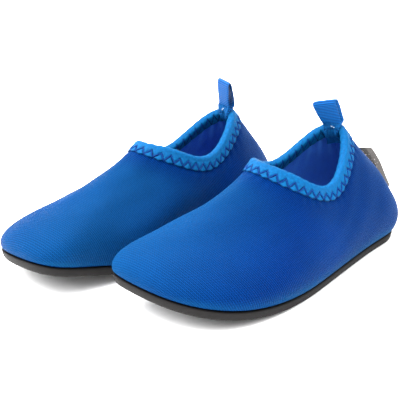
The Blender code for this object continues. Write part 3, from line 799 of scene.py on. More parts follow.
def shoe_angles():
    """Angles round the shoe from the heel's seam, close together beside the seam."""
    even = np.linspace(-math.pi, math.pi, UPPER_COLS, endpoint=False)
    offsets = np.linspace(0, HEEL_CLUSTER, HEEL_COLS + 1)[1:]
    near = np.concatenate((-math.pi + offsets, math.pi - offsets))
    kept = even[np.abs(even) < math.pi - HEEL_CLUSTER * 1.1]
    return np.sort(np.concatenate((kept, near, [-math.pi])))


def from_seam(angles):
    """Distance from the heel's seam, in millimetres at the collar."""
    return (math.pi - np.abs(angles)) * HEEL_ANGLE_RADIUS


def flat_cloth(skin, tops, depth, share_rows):
    """Texture coordinates for the sheet between the collar and the sole, from its flat pattern."""
    cols = np.linspace(-math.pi, math.pi, PATTERN_COLS)
    shares = np.linspace(0, 1, PATTERN_ROWS)
    coarse_skin = Skin(cols)
    downs = tops + (coarse_skin.length - tops)[None] * shares[:, None]
    coarse = flat_pattern(coarse_skin.at(downs, np.full(downs.shape, depth)))
    fine_cols = np.concatenate((skin.angles, [math.pi]))
    return finer_pattern(coarse, shares, cols, share_rows, fine_cols)


def two_faced_mesh(side, name, face, turned, back, cloth, rim):
    """A closed layer round the shoe: one face, its rows turned in at the foot, and the other face back
    up with a quarter of the rows."""
    extra = np.repeat(cloth[-1:], len(turned), axis=0)
    cloth = np.concatenate((cloth, extra, cloth[::-BACK_ROW_STEP], cloth[:1]))
    points = np.concatenate((face, np.array(turned), back))
    mesh = grid_mesh(f"{side}_{name}", in_frame(side, points), cloth)
    add_float(mesh, "rim", np.concatenate((rim, np.zeros(points[len(face):].shape[:2]))))
    return mesh


def pucker_wave(angles):
    """Where the collar's stitches pull the cloth in, 1 at a stitch's foot and 0 between them."""
    return 0.5 + 0.5 * np.cos(TURN * collar_share(angles) * ZIGZAGS)


def upper_depth(skin, downs):
    """Depth of the upper's outer face: under the tape, rising from it in puckers, then nearly level."""
    angles = skin.angles[None]
    rise = smooth(downs, BINDING_END - 0.5, UPPER_RISE_END)
    depth = UPPER_UNDER_TAPE + (UPPER_FACE - UPPER_UNDER_TAPE) * rise
    reach = bump(downs, BINDING_END + 1.2, PUCKER_REACH / 2)
    depth = depth + PUCKER * reach * (pucker_wave(angles) - 0.35) * (1 + 0.5 * waves(angles, 4, 9))
    down_share = downs / skin.length
    swell = waves(angles * 2 + 3.0 * down_share, 11, 6) + waves(angles * 3 - 5.0 * down_share, 12, 5)
    depth = depth - SWELL * 0.5 * swell * np.sin(math.pi * np.clip(down_share, 0, 1)) * rise
    seam = bump(from_seam(angles), 0.0, SEAM_HALF) * smooth(skin.length - downs, 0.0, 2.0)
    return depth + SEAM_DEPTH * seam


def make_upper(side):
    """The stretch upper: an outer face from under the binding to the sole, turned in below it, and the
    inner face back up."""
    skin = Skin(shoe_angles())
    shares = np.linspace(0, 1, UPPER_ROWS)
    downs = UPPER_TOP + (skin.length - UPPER_STOP - UPPER_TOP)[None] * shares[:, None]
    face = skin.at(downs, upper_depth(skin, downs))
    turned = [skin.at(skin.length - UPPER_BEND[0], UPPER_BEND[1])]
    turned.append(skin.sole_ring(UPPER_TUCK[0], SOLE_THICKNESS + UPPER_TUCK[1]))
    for height in (GAP, GAP + MARGIN_THICKNESS):
        turned.append(skin.sole_ring(UPPER_MARGIN, SOLE_THICKNESS + height))
    inner_downs = downs[::-BACK_ROW_STEP]
    inner = skin.at(inner_downs, np.full(inner_downs.shape, SHELL_INSIDE))
    inner[0] = skin.at_height(INNER_FOOT, SHELL_INSIDE)
    cloth = flat_cloth(skin, UPPER_TOP, 0.0, shares)
    # Painted light in the rim attribute: a painted sheen near the sole, and a painted highlight on the
    # vamp turned towards its inner side.
    above_sole = (skin.length[None] - downs) / PAINTED_SHEEN_HEIGHT
    rim = np.exp(-(above_sole**2) * PAINTED_SHEEN_FALL)
    rim = rim * (1 - PAINTED_SHEEN_VARIES + PAINTED_SHEEN_VARIES * waves(skin.angles, 21, 7)[None])
    vamp_highlight = np.clip(np.cos(skin.angles + VAMP_HIGHLIGHT_TURN), 0, 1) ** VAMP_HIGHLIGHT_FALL * smooth(downs, 4.0, 20.0)
    mesh = two_faced_mesh(side, "upper", face, turned, inner, cloth, np.maximum(rim, VAMP_HIGHLIGHT * vamp_highlight))
    add_to_shoe(side, "upper", mesh, "upper", "upper_shell")


LINING_ROWS = 60
LINING_TOP = 4.6
LINING_STOP = 5.0
LINING_HEM = 5.5
LINING_FOOT = (2.65, 2.05)
GATHER = 0.3
GATHER_RATE = 2.1
GATHER_SPREAD = 0.75
LINING_PUCKER = 0.12
LINING_SWELL = 0.1


def lining_depth(skin, downs):
    """Depth of the lining's face, gathered below the loop's tail and puckered along the binding."""
    angles = skin.angles[None]
    near_heel = bump(np.abs(angles) - math.pi, 0.0, GATHER_SPREAD)
    folds = np.sin(from_seam(angles) * GATHER_RATE + 1.2 * np.sin(from_seam(angles) * 0.7))
    fade = bump(downs, BINDING_END, 11.0)
    depth = LINING_INSIDE + GATHER * near_heel * folds * fade
    reach = bump(downs, INNER_BINDING_END + 1.0, PUCKER_REACH / 2)
    depth = depth + LINING_PUCKER * reach * (pucker_wave(angles) - 0.3)
    return depth + LINING_SWELL * waves(angles * 2 + downs * 0.08, 31, 6)


def make_lining(side):
    skin = Skin(shoe_angles())
    shares = np.linspace(0, 1, LINING_ROWS)
    bottom = skin.length - LINING_STOP
    downs = LINING_TOP + (bottom - LINING_TOP)[None] * shares[:, None]
    face = skin.at(downs, lining_depth(skin, downs))
    high, low = LINING_FOOT
    turned = [skin.at_height(high, LINING_INSIDE), skin.sole_ring(LINING_HEM, SOLE_THICKNESS + high)]
    turned += [skin.sole_ring(LINING_HEM, SOLE_THICKNESS + low), skin.at_height(low, LINING_OUTSIDE)]
    back_downs = downs[::-BACK_ROW_STEP]
    back = skin.at(back_downs, np.full(back_downs.shape, LINING_OUTSIDE))
    cloth = flat_cloth(skin, LINING_TOP, LINING_INSIDE, shares)
    # Painted highlights on the crests of the gathers, carried in the rim attribute.
    gather_highlights = np.clip(np.sin(from_seam(skin.angles) * GATHER_RATE), 0, 1)[None]
    gather_highlights = gather_highlights * bump(downs, BINDING_END + 2, 9.0)
    gather_highlights = gather_highlights * bump(np.abs(skin.angles)[None] - math.pi, 0.0, GATHER_SPREAD)
    mesh = two_faced_mesh(side, "lining", face, turned, back, cloth, gather_highlights)
    add_to_shoe(side, "lining", mesh, "lining", "upper_lining")


# ---------------------------------------------------------------- Collar binding and its stitches

OUTER_STITCH = (0.45, 3.5)
FOLD_LENGTH = math.pi * FOLD_RADIUS
BAND_OUTER = BINDING_END - FOLD_DOWN
BAND_LENGTH = BAND_OUTER + FOLD_LENGTH + INNER_BINDING_END - FOLD_DOWN
INNER_STITCH = (BAND_LENGTH - 1.0, BAND_LENGTH - 6.0)
BAND_STITCHES = (OUTER_STITCH, INNER_STITCH)
STITCH_SEEDS = {"outer": 51, "inner": 52}
STITCH_SLANT = 0.55
STITCH_JITTER = 0.2
PHASE_JITTER = 0.05
COLS_PER_ZIGZAG = 18
BAND_ROWS = 56
GROOVE = 0.26
GROOVE_WIDTH = 0.42
SCALLOP = 0.62
SCALLOP_VARIES = 0.35
TAPE_SWELL = 0.05
TAPE_PUFF = 0.14
TAPE_RIDGE = 0.07
THREAD_RADIUS = 0.21
STITCH_STEPS = 9
STITCH_SINK = 0.42
STITCH_ARCH = 0.5
EDGE_ROUNDING = 0.3
EDGE_WIDTH = 0.45
INNER_GAP = 0.092


def stitch_line(phase, ends):
    """How far along the tape the zigzag is at a phase, from one end to the other and back."""
    return ends[0] + (ends[1] - ends[0]) * saw(phase)


def beside_stitch(along, phase, ends):
    """Distance from the zigzag's slanting thread, square to it."""
    return np.abs(along - stitch_line(phase, ends)) * STITCH_SLANT


def band_lift(along, phase, angles):
    """How far the tape stands proud: pulled in along both zigzags and puffed up between stitches."""
    lift = TAPE_SWELL * waves(angles * 3, 41, 8) * np.ones_like(along)
    for ends in BAND_STITCHES:
        low, high = min(ends), max(ends)
        beside = beside_stitch(along, phase, ends)
        near = bump(np.clip(np.abs(along - (low + high) / 2) - (high - low) / 2, 0, None), 0.0, 0.5)
        lift = lift - GROOVE * bump(beside, 0.0, GROOVE_WIDTH) * near
        lift = lift + TAPE_PUFF * near * smooth(beside, 0.3, 0.8)
    ridge = bump(along, BAND_OUTER + FOLD_LENGTH / 2, FOLD_LENGTH / 2.2)
    return lift + TAPE_RIDGE * ridge * np.cos(TURN * phase) * (1 + 0.6 * waves(angles * 5, 42, 9))


def scallop(phase, angles, seed):
    """How far the stitches pull one of the tape's edges in."""
    return SCALLOP * (1 - saw(phase) - 0.5) * (1 + SCALLOP_VARIES * waves(angles * 4, seed, 9))


def make_binding(side):
    """The tape folded over the collar's edge, with scalloped edges where the stitches pull it."""
    phase = np.arange(ZIGZAGS * COLS_PER_ZIGZAG) / COLS_PER_ZIGZAG
    angles = even_angles(phase / ZIGZAGS)
    skin = Skin(angles)
    start = scallop(phase, angles, 43)
    end = BAND_LENGTH - scallop(phase, angles, 44)
    shares = np.linspace(0, 1, BAND_ROWS)[:, None]
    along = start[None] + (end - start)[None] * shares
    edge = np.minimum(along - start[None], end[None] - along)
    rounding = EDGE_ROUNDING * (1 - np.sqrt(1 - (1 - np.clip(edge / EDGE_WIDTH, 0, 1)) ** 2))
    lift = band_lift(along, phase[None], angles[None]) - rounding
    face = skin.band(along, lift)
    back_along = along[::-5]
    back_lift = np.minimum(-BINDING, band_lift(back_along, phase[None], angles[None]) - BINDING + 0.1)
    back = skin.band(back_along, back_lift)
    points = np.concatenate((face, back))
    run = np.concatenate((phase, [ZIGZAGS])) / ZIGZAGS * COLLAR_LENGTH
    down = np.concatenate((along, back_along, along[:1]))
    down = np.concatenate((down, down[:, :1]), axis=1)
    cloth = np.stack((np.broadcast_to(run, down.shape), down), axis=-1)
    mesh = grid_mesh(f"{side}_binding", in_frame(side, points), cloth)
    # Painted shade in the rim attribute: darker along the zigzag grooves, at the tape's edges and on its
    # hidden back face.
    nearest = np.minimum(*[beside_stitch(along, phase[None], ends) for ends in BAND_STITCHES])
    shade = bump(nearest, 0.0, 0.34) + 0.8 * bump(edge, 0.0, 0.25)
    add_float(mesh, "rim", np.concatenate((shade, np.ones(back.shape[:2]))))
    add_to_shoe(side, "binding", mesh, "binding", "collar_binding")


def zigzag_line(first, last, ends, seed):
    """A stitched line along the tape from one phase to another: it dips into the cloth at each corner."""
    draw = np.random.default_rng(seed)
    corners = np.arange(int(first * 2), int(last * 2) + 1) / 2
    places = stitch_line(corners, ends) + draw.normal(0, STITCH_JITTER, len(corners))
    phases = corners + draw.normal(0, PHASE_JITTER, len(corners))
    steps = np.arange(STITCH_STEPS) / STITCH_STEPS
    phase = (phases[:-1, None] + np.diff(phases)[:, None] * steps).ravel()
    along = (places[:-1, None] + np.diff(places)[:, None] * steps).ravel()
    arch = np.tile(np.sin(math.pi * steps) ** 0.5, len(corners) - 1)
    return phase, along, STITCH_ARCH * arch - STITCH_SINK


def make_binding_stitches(side, which, ends, first, last):
    phase, along, lift = zigzag_line(first, last, ends, STITCH_SEEDS[which])
    angles = even_angles(np.mod(phase / ZIGZAGS, 1.0))
    line = Skin(angles).band(along, lift)
    name = f"{which}_stitches"
    mesh = tube_mesh(f"{side}_{name}", [in_frame(side, line)], THREAD_RADIUS * MM, THREAD_SIDES)
    add_to_shoe(side, name, mesh, "thread", f"binding_{which}_thread")


HEEL_STITCH_PITCH = 1.3
HEEL_STITCH_HALF = 0.85
HEEL_STITCH_STEPS = 7
HEEL_STITCH_ARCH = 0.42
HEEL_THREAD_RADIUS = 0.17


def make_heel_seam(side):
    """Dark overedge stitches that close the upper's back seam."""
    length = Skin((math.pi,)).length[0]
    count = int((length - BINDING_END - 2.0) / HEEL_STITCH_PITCH * 2)
    phase = np.arange(count * HEEL_STITCH_STEPS) / HEEL_STITCH_STEPS
    along = BINDING_END + 0.4 + phase * HEEL_STITCH_PITCH / 2
    across = HEEL_STITCH_HALF * (2 * saw(phase / 2) - 1)
    arch = np.sin(math.pi * np.mod(phase, 1.0)) ** 0.5
    skin = Skin(math.pi + across / HEEL_ANGLE_RADIUS)
    line = skin.at(along, UPPER_FACE + 0.3 - HEEL_STITCH_ARCH * arch)
    mesh = tube_mesh(f"{side}_heel_seam", [in_frame(side, line)], HEEL_THREAD_RADIUS * MM, THREAD_SIDES)
    add_to_shoe(side, "heel_seam", mesh, "thread", "binding_outer_thread", in_its_place=False)


# ---------------------------------------------------------------- Pull loop

# The loop starts at its hinge, leans forward and is twisted about its length. Its ends are tails that
# lie inside the heel, at distances down it.
LOOP_LEAN = {"left": math.radians(32), "right": math.radians(9)}
LOOP_TWIST = {"left": math.radians(46), "right": math.radians(14)}
LOOP_FORWARD = 1.0
LOOP_RAISE = 0.5
HINGE_DOWN = 2.375
LOOP_START = HINGE_DOWN + 0.7
LOOP_LENGTH = {"left": 14.2, "right": 13.1}
LOOP_TOP_SPREAD = 0.95
LOOP_SPREAD = {"left": 1.15, "right": 1.9}
RIBBON_HALF = 5.1
RIBBON_BASE_HALF = 4.4
RIBBON_THICKNESS = 0.5
RIBBON_COLS = 25
REACH = np.linspace(-1, 1, RIBBON_COLS)
RIBBON_STEP = 0.11
RIB_PITCH = 0.94
RIB_HEIGHT = 0.24
ROW_RISE = 0.13
HEEL_REACH = 1.3
HEEL_SAMPLES = 161
SOFTENING = np.exp(-((np.arange(-14, 15) / 6.0) ** 2))
FRONT_TAIL = (10.2, 9.0, 7.4, 5.8, 4.2)
BACK_TAIL = (3.0, 5.0, 7.4)
FRONT_TAIL_HALF = 4.1
BACK_TAIL_HALF = 3.9
FOLD_HALF = 4.2
FRONT_FOLD_TURN = math.radians(150)
BACK_FOLD_TURN = math.radians(120)
PLEATS = 0.28 * np.cos(REACH * math.pi * 3.0)
TAIL_FAN = 0.010
LOOP_ROWS = 6
TAIL_SHIFT = {"left": -1.3, "right": -0.9}
FRONT_DEPTH = COLLAR_DEPTH + 0.7
BACK_DEPTH = COLLAR_DEPTH + 0.3


def loop_hinge():
    return Skin((math.pi,)).at(HINGE_DOWN, HINGE_DOWN)[0] + np.array((0.0, LOOP_FORWARD, LOOP_RAISE))


def loop_axes(side):
    """The free loop's directions along its length and back from its front layer."""
    lean = LOOP_LEAN[side]
    lengthwise = np.array((0.0, math.sin(lean), math.cos(lean)))
    return lengthwise, np.array((0.0, -math.cos(lean), math.sin(lean)))


HEEL_SKIN = Skin(np.linspace(math.pi - HEEL_REACH, math.pi + HEEL_REACH, HEEL_SAMPLES))


def heel_row(place, depth, across, on_fold=False):
    """A row of ribbon points across the inside of the heel, this far down it or at this turn of the
    fold. Offset curves cross in the tight back of the heel, so the row keeps to their forward side."""
    if on_fold:
        face = HEEL_SKIN.fold(place, depth - FOLD_RADIUS)
    else:
        face = HEEL_SKIN.at(place, np.full(HEEL_SAMPLES, depth))
    outward = np.linspace(face[:, 0].min(), face[:, 0].max(), HEEL_SAMPLES)
    forward = np.full(HEEL_SAMPLES, -np.inf)
    height = np.zeros(HEEL_SAMPLES)
    for first, second in zip(face, face[1:]):
        low, high = sorted((first[0], second[0]))
        share = (outward - first[0]) / (second[0] - first[0] + 1e-12)
        here = first + (second - first) * share[:, None]
        better = (outward >= low) & (outward <= high) & (here[:, 1] > forward)
        forward[better] = here[better, 1]
        height[better] = here[better, 2]
    line = np.column_stack((outward, forward, height))[np.isfinite(forward)]
    kernel = SOFTENING / SOFTENING.sum()
    beyond = len(kernel) // 2
    padded = np.pad(line, ((beyond, beyond), (0, 0)), mode="edge")
    soft = np.column_stack([np.convolve(padded[:, axis], kernel, "valid") for axis in range(3)])
    run = run_along(soft)
    middle = np.interp(face[HEEL_SAMPLES // 2, 0], soft[:, 0], run)
    return read_line(middle + across, run, soft)


def loop_row(side, back, along, across):
    """A row of ribbon points on the free loop, this far back from its middle plane and along it."""
    rise = (along - LOOP_START) / LOOP_LENGTH[side]
    turn = LOOP_TWIST[side] * (0.55 + 0.45 * float(smooth(rise, 0.0, 0.4)))
    lengthwise, backward = loop_axes(side)
    broad = unit(np.array((math.cos(turn), -math.sin(turn), ROW_RISE * math.sin(LOOP_TWIST[side]))))
    return loop_hinge() + backward * back + lengthwise * along + broad * across[:, None]


def loop_layer(side, alongs, is_back):
    """Rows of one layer of the free loop, in front of its middle plane or behind it."""
    rows = []
    for along in alongs:
        rise = (along - LOOP_START) / LOOP_LENGTH[side]
        half = RIBBON_BASE_HALF + (RIBBON_HALF - RIBBON_BASE_HALF) * float(smooth(rise, 0.15, 0.75))
        top_share = float(smooth(rise, 0.35, 1.0))
        back = LOOP_SPREAD[side] + (LOOP_TOP_SPREAD - LOOP_SPREAD[side]) * top_share
        back *= 0.55 + 0.45 * float(smooth(rise, 0.0, 0.3)) if is_back else -1
        rows.append(loop_row(side, back, along, REACH * half))
    return rows


def ribbon_rows(side):
    """Rows of points along the ribbon's middle, from the end of its front tail to the back one's."""
    shift = TAIL_SHIFT[side]
    rows = []
    for down in FRONT_TAIL:
        fan = 1.0 + TAIL_FAN * max(0.0, down - 4.0) ** 2
        row = heel_row(down, FRONT_DEPTH, shift + REACH * FRONT_TAIL_HALF * fan)
        row[:, 1] += PLEATS * float(smooth(down, 2.5, 6.5))
        rows.append(row)
    row = heel_row(FRONT_FOLD_TURN, FRONT_DEPTH, shift * 0.7 + REACH * FOLD_HALF, on_fold=True)
    row[:, 1] += PLEATS * 0.35
    rows.append(row)
    top = LOOP_START + LOOP_LENGTH[side] - LOOP_TOP_SPREAD
    rows += loop_layer(side, np.linspace(LOOP_START + 0.5, top, LOOP_ROWS), False)
    for turn in (math.radians(45), math.radians(90), math.radians(135)):
        back = -LOOP_TOP_SPREAD * math.cos(turn)
        rows.append(loop_row(side, back, top + LOOP_TOP_SPREAD * math.sin(turn), REACH * RIBBON_HALF))
    rows += loop_layer(side, np.linspace(top, LOOP_START + 0.9, LOOP_ROWS), True)
    rows.append(heel_row(BACK_FOLD_TURN, BACK_DEPTH, shift * 0.5 + REACH * FOLD_HALF, on_fold=True))
    for down in BACK_TAIL:
        rows.append(heel_row(down, BACK_DEPTH, shift * 0.8 + REACH * BACK_TAIL_HALF))
    return np.array(rows)


def smooth_rows(keys, step):
    """A smooth sheet through rows of points, with rows about one step apart."""
    knots = run_along(keys[:, keys.shape[1] // 2])
    gaps = np.diff(knots)
    slopes = np.gradient(keys, knots, axis=0)
    runs = np.linspace(0, knots[-1], int(knots[-1] / step))
    part = np.clip(np.searchsorted(knots, runs, side="right") - 1, 0, len(gaps) - 1)
    gap = gaps[part][:, None, None]
    t = ((runs - knots[part]) / gaps[part])[:, None, None]
    first, second = keys[part], keys[part + 1]
    start, finish = slopes[part] * gap, slopes[part + 1] * gap
    curve = (2 * t**3 - 3 * t**2 + 1) * first + (t**3 - 2 * t**2 + t) * start
    return curve + (3 * t**2 - 2 * t**3) * second + (t**3 - t**2) * finish


def sheet_normals(sheet):
    return unit(np.cross(np.gradient(sheet, axis=0), np.gradient(sheet, axis=1)))


def banded_mesh(side, name, sheet, half_thickness, widths):
    """A closed strip round a sheet of points: half_thickness is a grid, and widths place its columns
    for the texture."""
    normals = sheet_normals(sheet)
    front = sheet + normals * half_thickness[..., None]
    back = sheet - normals * half_thickness[..., None]
    ring = np.concatenate((front, back[:, ::-1]), axis=1)
    run = run_along(sheet[:, sheet.shape[1] // 2])
    across = np.concatenate((widths, widths[::-1], widths[:1]))
    cloth = np.stack(np.broadcast_arrays(across[None], run[:, None]), axis=-1)
    points = in_frame(side, ring)
    mesh = grid_mesh(f"{side}_{name}", points, cloth, round_rows=False, fans=(0, 1), fan_shift=1)
    return mesh, run


def make_pull_loop(side):
    """One ribbon: both ends are gathered inside the heel, and the loop stands up from the collar."""
    sheet = smooth_rows(ribbon_rows(side), RIBBON_STEP)
    run = run_along(sheet[:, RIBBON_COLS // 2])
    rib = np.abs(np.sin(math.pi * run / RIB_PITCH))[:, None] * np.ones(RIBBON_COLS)
    selvedge = np.clip(1 - np.abs(REACH) ** 10, 0.25, 1)[None]
    half = (RIBBON_THICKNESS / 2 + RIB_HEIGHT * (rib - 0.5)) * selvedge
    mesh, _ = banded_mesh(side, "loop_ribbon", sheet, half, REACH * RIBBON_HALF)
    # The rim attribute is the ribs' height, for painted shade in the grooves between them.
    add_float(mesh, "rim", np.concatenate((rib, rib), axis=1))
    piece = add_object(f"{side}_loop_ribbon", mesh, MATERIALS["ribbon"])
    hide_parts(f"{side}_pull_loop", f"{side}_loop_tail")
    blend_loop(side, piece)


def blend_loop(side, piece):
    """Bakes the piece's placement into its mesh. The points just above the collar's edge, where the loop
    leaves the shoe, are worked out but not used.
    """
    lengthwise, _ = loop_axes(side)
    start = in_frame(side, loop_hinge() + lengthwise * (HINGE_DOWN - 0.6))
    end = in_frame(side, loop_hinge() + lengthwise * (LOOP_START + 2.2))
    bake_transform(piece)


TACK_ROWS = (3.55, 5.1, 6.35)
TACK_REACH = 0.93
TACK_LIMIT = 0.97
TACK_STITCHES = 10
TACK_RADIUS = 0.22
TACK_OFF = 0.42
TACK_LIFT = 0.38
GLINT_RADIUS = 0.15
GLINTS = ((0.05, 5.75), (0.3, 5.5))


def ribbon_place(side, keys, rows, reaches, lift):
    """Points on the ribbon's front, at these places between its key rows and across it."""
    sheet = smooth_rows(keys, RIBBON_STEP)
    normals = sheet_normals(sheet)
    knots = run_along(keys[:, RIBBON_COLS // 2])
    runs = np.interp(rows, np.arange(len(knots)), knots) / knots[-1] * (len(sheet) - 1)
    row = np.clip(np.round(runs).astype(int), 0, len(sheet) - 1)
    column = (np.asarray(reaches) + 1) / 2 * (RIBBON_COLS - 1)
    low = np.clip(column.astype(int), 0, RIBBON_COLS - 2)
    share = (column - low)[:, None]
    place = sheet[row, low] * (1 - share) + sheet[row, low + 1] * share
    return place + normals[row, low] * np.asarray(lift)[..., None]


def tack_path(rows, reaches):
    """A path between corners on the ribbon, and its arch over the cloth between them."""
    t = np.arange(STITCH_STEPS) / STITCH_STEPS
    along = (rows[:-1, None] + np.diff(rows)[:, None] * t).ravel()
    across = (reaches[:-1, None] + np.diff(reaches)[:, None] * t).ravel()
    return along, across, TACK_OFF + np.tile(TACK_LIFT * np.sin(math.pi * t) ** 0.5, len(rows) - 1)


def add_tack_threads(side, name, lines, radius, material):
    lines = [in_frame(side, line) for line in lines]
    mesh = tube_mesh(f"{side}_{name}", lines, radius * MM, THREAD_SIDES)
    piece = add_object(f"{side}_{name}", mesh, MATERIALS[material])
    blend_loop(side, piece)
    return piece


def make_bar_tack(side):
    """A rough zigzag over the ribbon's gathered end, with two short pale threads on it as painted glints.
    """
    draw = np.random.default_rng(61)
    keys = ribbon_rows(side)
    corners = np.arange(TACK_STITCHES * 2 + 1)
    reaches = TACK_REACH * (2 * corners / corners[-1] - 1) + draw.normal(0, 0.03, len(corners))
    reaches = np.clip(reaches, -TACK_LIMIT, TACK_LIMIT)
    lines = []
    for low, high in zip(TACK_ROWS, TACK_ROWS[1:]):
        rows = np.where(corners % 2 == 0, low, high) + draw.normal(0, 0.1, len(corners))
        lines.append(ribbon_place(side, keys, *tack_path(rows, reaches)))
    threads = add_tack_threads(side, "tack_stitches", lines, TACK_RADIUS, "tack_thread")
    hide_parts(f"{side}_loop_bar_tack")
    # Painted glints: short pale threads that stand for highlights on the tack.
    glints = []
    t = np.linspace(0, 1, 7)
    for reach, row in GLINTS:
        rows = row + 0.22 * t + 0.05 * np.sin(6 * t)
        lift = TACK_OFF + TACK_LIFT + 0.3 * np.sin(3 * t)
        glints.append(ribbon_place(side, keys, rows, reach - 0.2 * t, lift))
    add_tack_threads(side, "tack_glints", glints, GLINT_RADIUS, "glint_thread")


# ---------------------------------------------------------------- Heel tape, sockliner and outsole

TAPE_HALF = 4.6
TAPE_LAYER = 0.4
TAPE_OFF = 0.42
TAPE_CROWN = 0.18
TAPE_RIPPLE = 0.06
TAPE_COLS = 21
TAPE_ROWS = 70


def make_seam_tape(side):
    """A soft tape over the lining's back seam."""
    length = Skin((math.pi,)).length[0]
    across = np.linspace(-TAPE_HALF, TAPE_HALF, TAPE_COLS)
    skin = Skin(math.pi - across / HEEL_ANGLE_RADIUS)
    downs = np.linspace(BINDING_END - 1.5, length - 9.0, TAPE_ROWS)[:, None] * np.ones(TAPE_COLS)
    crown = TAPE_CROWN * (1 - (across / TAPE_HALF) ** 4)[None]
    sheet = skin.at(downs, LINING_INSIDE + TAPE_OFF + crown + TAPE_RIPPLE * np.sin(downs * 1.4))
    selvedge = np.clip(1 - np.abs(across / TAPE_HALF) ** 8, 0.3, 1)[None]
    half = TAPE_LAYER / 2 * selvedge * np.ones((TAPE_ROWS, 1))
    mesh, _ = banded_mesh(side, "seam_tape", sheet, half, across)
    add_float(mesh, "rim", np.zeros(len(mesh.vertices)))
    add_to_shoe(side, "seam_tape", mesh, "lining", "heel_seam_tape")


SOCKLINER_LOW = 2.95
SOCKLINER_HIGH = 5.95
SOCKLINER_DEPTH = LINING_INSIDE + 0.6
SOCKLINER_EDGE = slice(5, 9)
SOLE_COLS = 240


def inner_rings(skin, rim_plan, height_at, shares):
    """Rings drawn in from a rim towards the shoe's long axis."""
    axis = skin.axis_plan(rim_plan)
    rings = []
    for share in shares:
        plan = rim_plan + (axis - rim_plan) * share
        rings.append(on_sole(plan, height_at(share)))
    return rings


def filled_mesh(side, name, points):
    """Rings stacked up the shoe, with the lowest and the highest filled across."""
    plan = np.concatenate((points[..., :2], points[:, :1, :2]), axis=1)
    return grid_mesh(f"{side}_{name}", in_frame(side, points), plan, round_rows=False, fans=(0, 1))


def make_sockliner(side):
    """The padded insole: a soft rim, dished under the foot."""
    skin = Skin(np.linspace(0, TURN, SOLE_COLS, endpoint=False))
    low = skin.at_height(SOCKLINER_LOW, SOCKLINER_DEPTH)
    mid = skin.at_height(SOCKLINER_HIGH - 0.9, SOCKLINER_DEPTH)
    high = skin.at_height(SOCKLINER_HIGH, SOCKLINER_DEPTH + 0.5)

    def height_at(share):
        return SOLE_THICKNESS + SOCKLINER_HIGH + 0.12 - 0.75 * float(smooth(share, 0.02, 0.45))

    top = inner_rings(skin, high[:, :2], height_at, np.linspace(0.02, 0.96, 22) ** 1.2)
    under = inner_rings(skin, low[:, :2], lambda share: SOLE_THICKNESS + SOCKLINER_LOW, (0.96, 0.5))
    points = np.array(under + [low, mid, high] + top)
    mesh = filled_mesh(side, "insole_pad", points)
    rim = np.zeros(points.shape[:2])
    rim[SOCKLINER_EDGE] = 0.6
    add_float(mesh, "rim", rim)
    piece = add_to_shoe(side, "insole_pad", mesh, "sockliner", "sockliner")


OUTSOLE_SIDE = (
    (2.2, 0.0), (1.5, 0.06), (1.0, 0.3), (0.72, 0.75), (0.5, 1.3), (0.3, 2.0), (0.12, 2.8), (0.05, 3.3),
    (0.12, 3.62), (0.4, 3.86), (0.9, 3.98), (1.8, 4.05),
)
GROOVE_DEPTH = 1.0
TREAD_GROOVE = 1.6
GROOVE_PITCH = 6.0
FOREFOOT_GROOVES = (90.0, 9)
HEEL_GROOVES = (11.0, 5)
GROOVE_MARGIN = 5.0
GROOVE_STEPS = 14
GROOVE_BOW = 2.0


def groove_span(forward):
    """Where a groove starts and ends across the sole."""
    outline = edge_plan(np.linspace(0, TURN, OUTLINE_SAMPLES))
    near = outline[np.abs(outline[:, 1] - forward) < GROOVE_PITCH]
    outer = near[near[:, 0] > AXIS_OUTWARD][:, 0].min()
    inner = near[near[:, 0] < AXIS_OUTWARD][:, 0].max()
    return inner + GROOVE_MARGIN, outer - GROOVE_MARGIN


def groove_cutter(side, forward):
    """One bowed bar with sloping sides that cuts a groove across the underside."""
    rings = []
    wide, narrow = TREAD_GROOVE / 2 + 0.5, TREAD_GROOVE / 2 - 0.15
    section = ((-wide, -1.0), (wide, -1.0), (narrow, GROOVE_DEPTH), (-narrow, GROOVE_DEPTH))
    for outward in np.linspace(*groove_span(forward), GROOVE_STEPS + 1):
        middle = forward + GROOVE_BOW * (1 - (outward / LIFT_WIDTH * 2) ** 2)
        floor = float(ground(np.array((outward, middle))))
        rings.append([(outward, middle + y, floor + z) for y, z in section])
    return in_frame(side, np.array(rings))


def make_tread_cutter(side):
    verts, faces = [], []
    for start, count in (HEEL_GROOVES, FOREFOOT_GROOVES):
        for i in range(count):
            rings = groove_cutter(side, start + GROOVE_PITCH * i)
            faces += bar_faces(len(verts), len(rings), rings.shape[1])
            verts += rings.reshape(-1, 3).tolist()
    mesh = bpy.data.meshes.new("tread_cutter")
    mesh.from_pydata(verts, [], faces)
    facing_out(mesh)
    return link_object(f"{side}_tread_cutter", mesh)


def make_outsole(side):
    """The rubber sole with a rolled side wall and grooves cut across its underside."""
    skin = Skin(np.linspace(0, TURN, SOLE_COLS, endpoint=False))
    rings = [skin.sole_ring(inset, height) for inset, height in OUTSOLE_SIDE]
    mesh = filled_mesh(side, "sole", np.array(rings))
    heights = np.array([height for _, height in OUTSOLE_SIDE])
    # Weight of the lighter patches: highest at the sole's lower edge.
    lower_edge_weight = np.clip(1.3 - heights, 0.15, 1.0)[:, None] * np.ones(SOLE_COLS)
    add_float(mesh, "rim", lower_edge_weight)
    piece = add_object(f"{side}_sole", mesh, MATERIALS["rubber"])
    cutter = make_tread_cutter(side)
    cut = piece.modifiers.new("tread", "BOOLEAN")
    cut.operation = "DIFFERENCE"
    cut.solver = "EXACT"
    cut.object = cutter
    bpy.context.view_layer.update()
    evaluated = piece.evaluated_get(bpy.context.evaluated_depsgraph_get())
    result = bpy.data.meshes.new_from_object(evaluated)
    piece.modifiers.clear()
    piece.data = result
    bpy.data.objects.remove(cutter)
    result.set_sharp_from_angle(angle=math.radians(38))
    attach(piece, f"{side}_shoe")
    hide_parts(f"{side}_outsole")


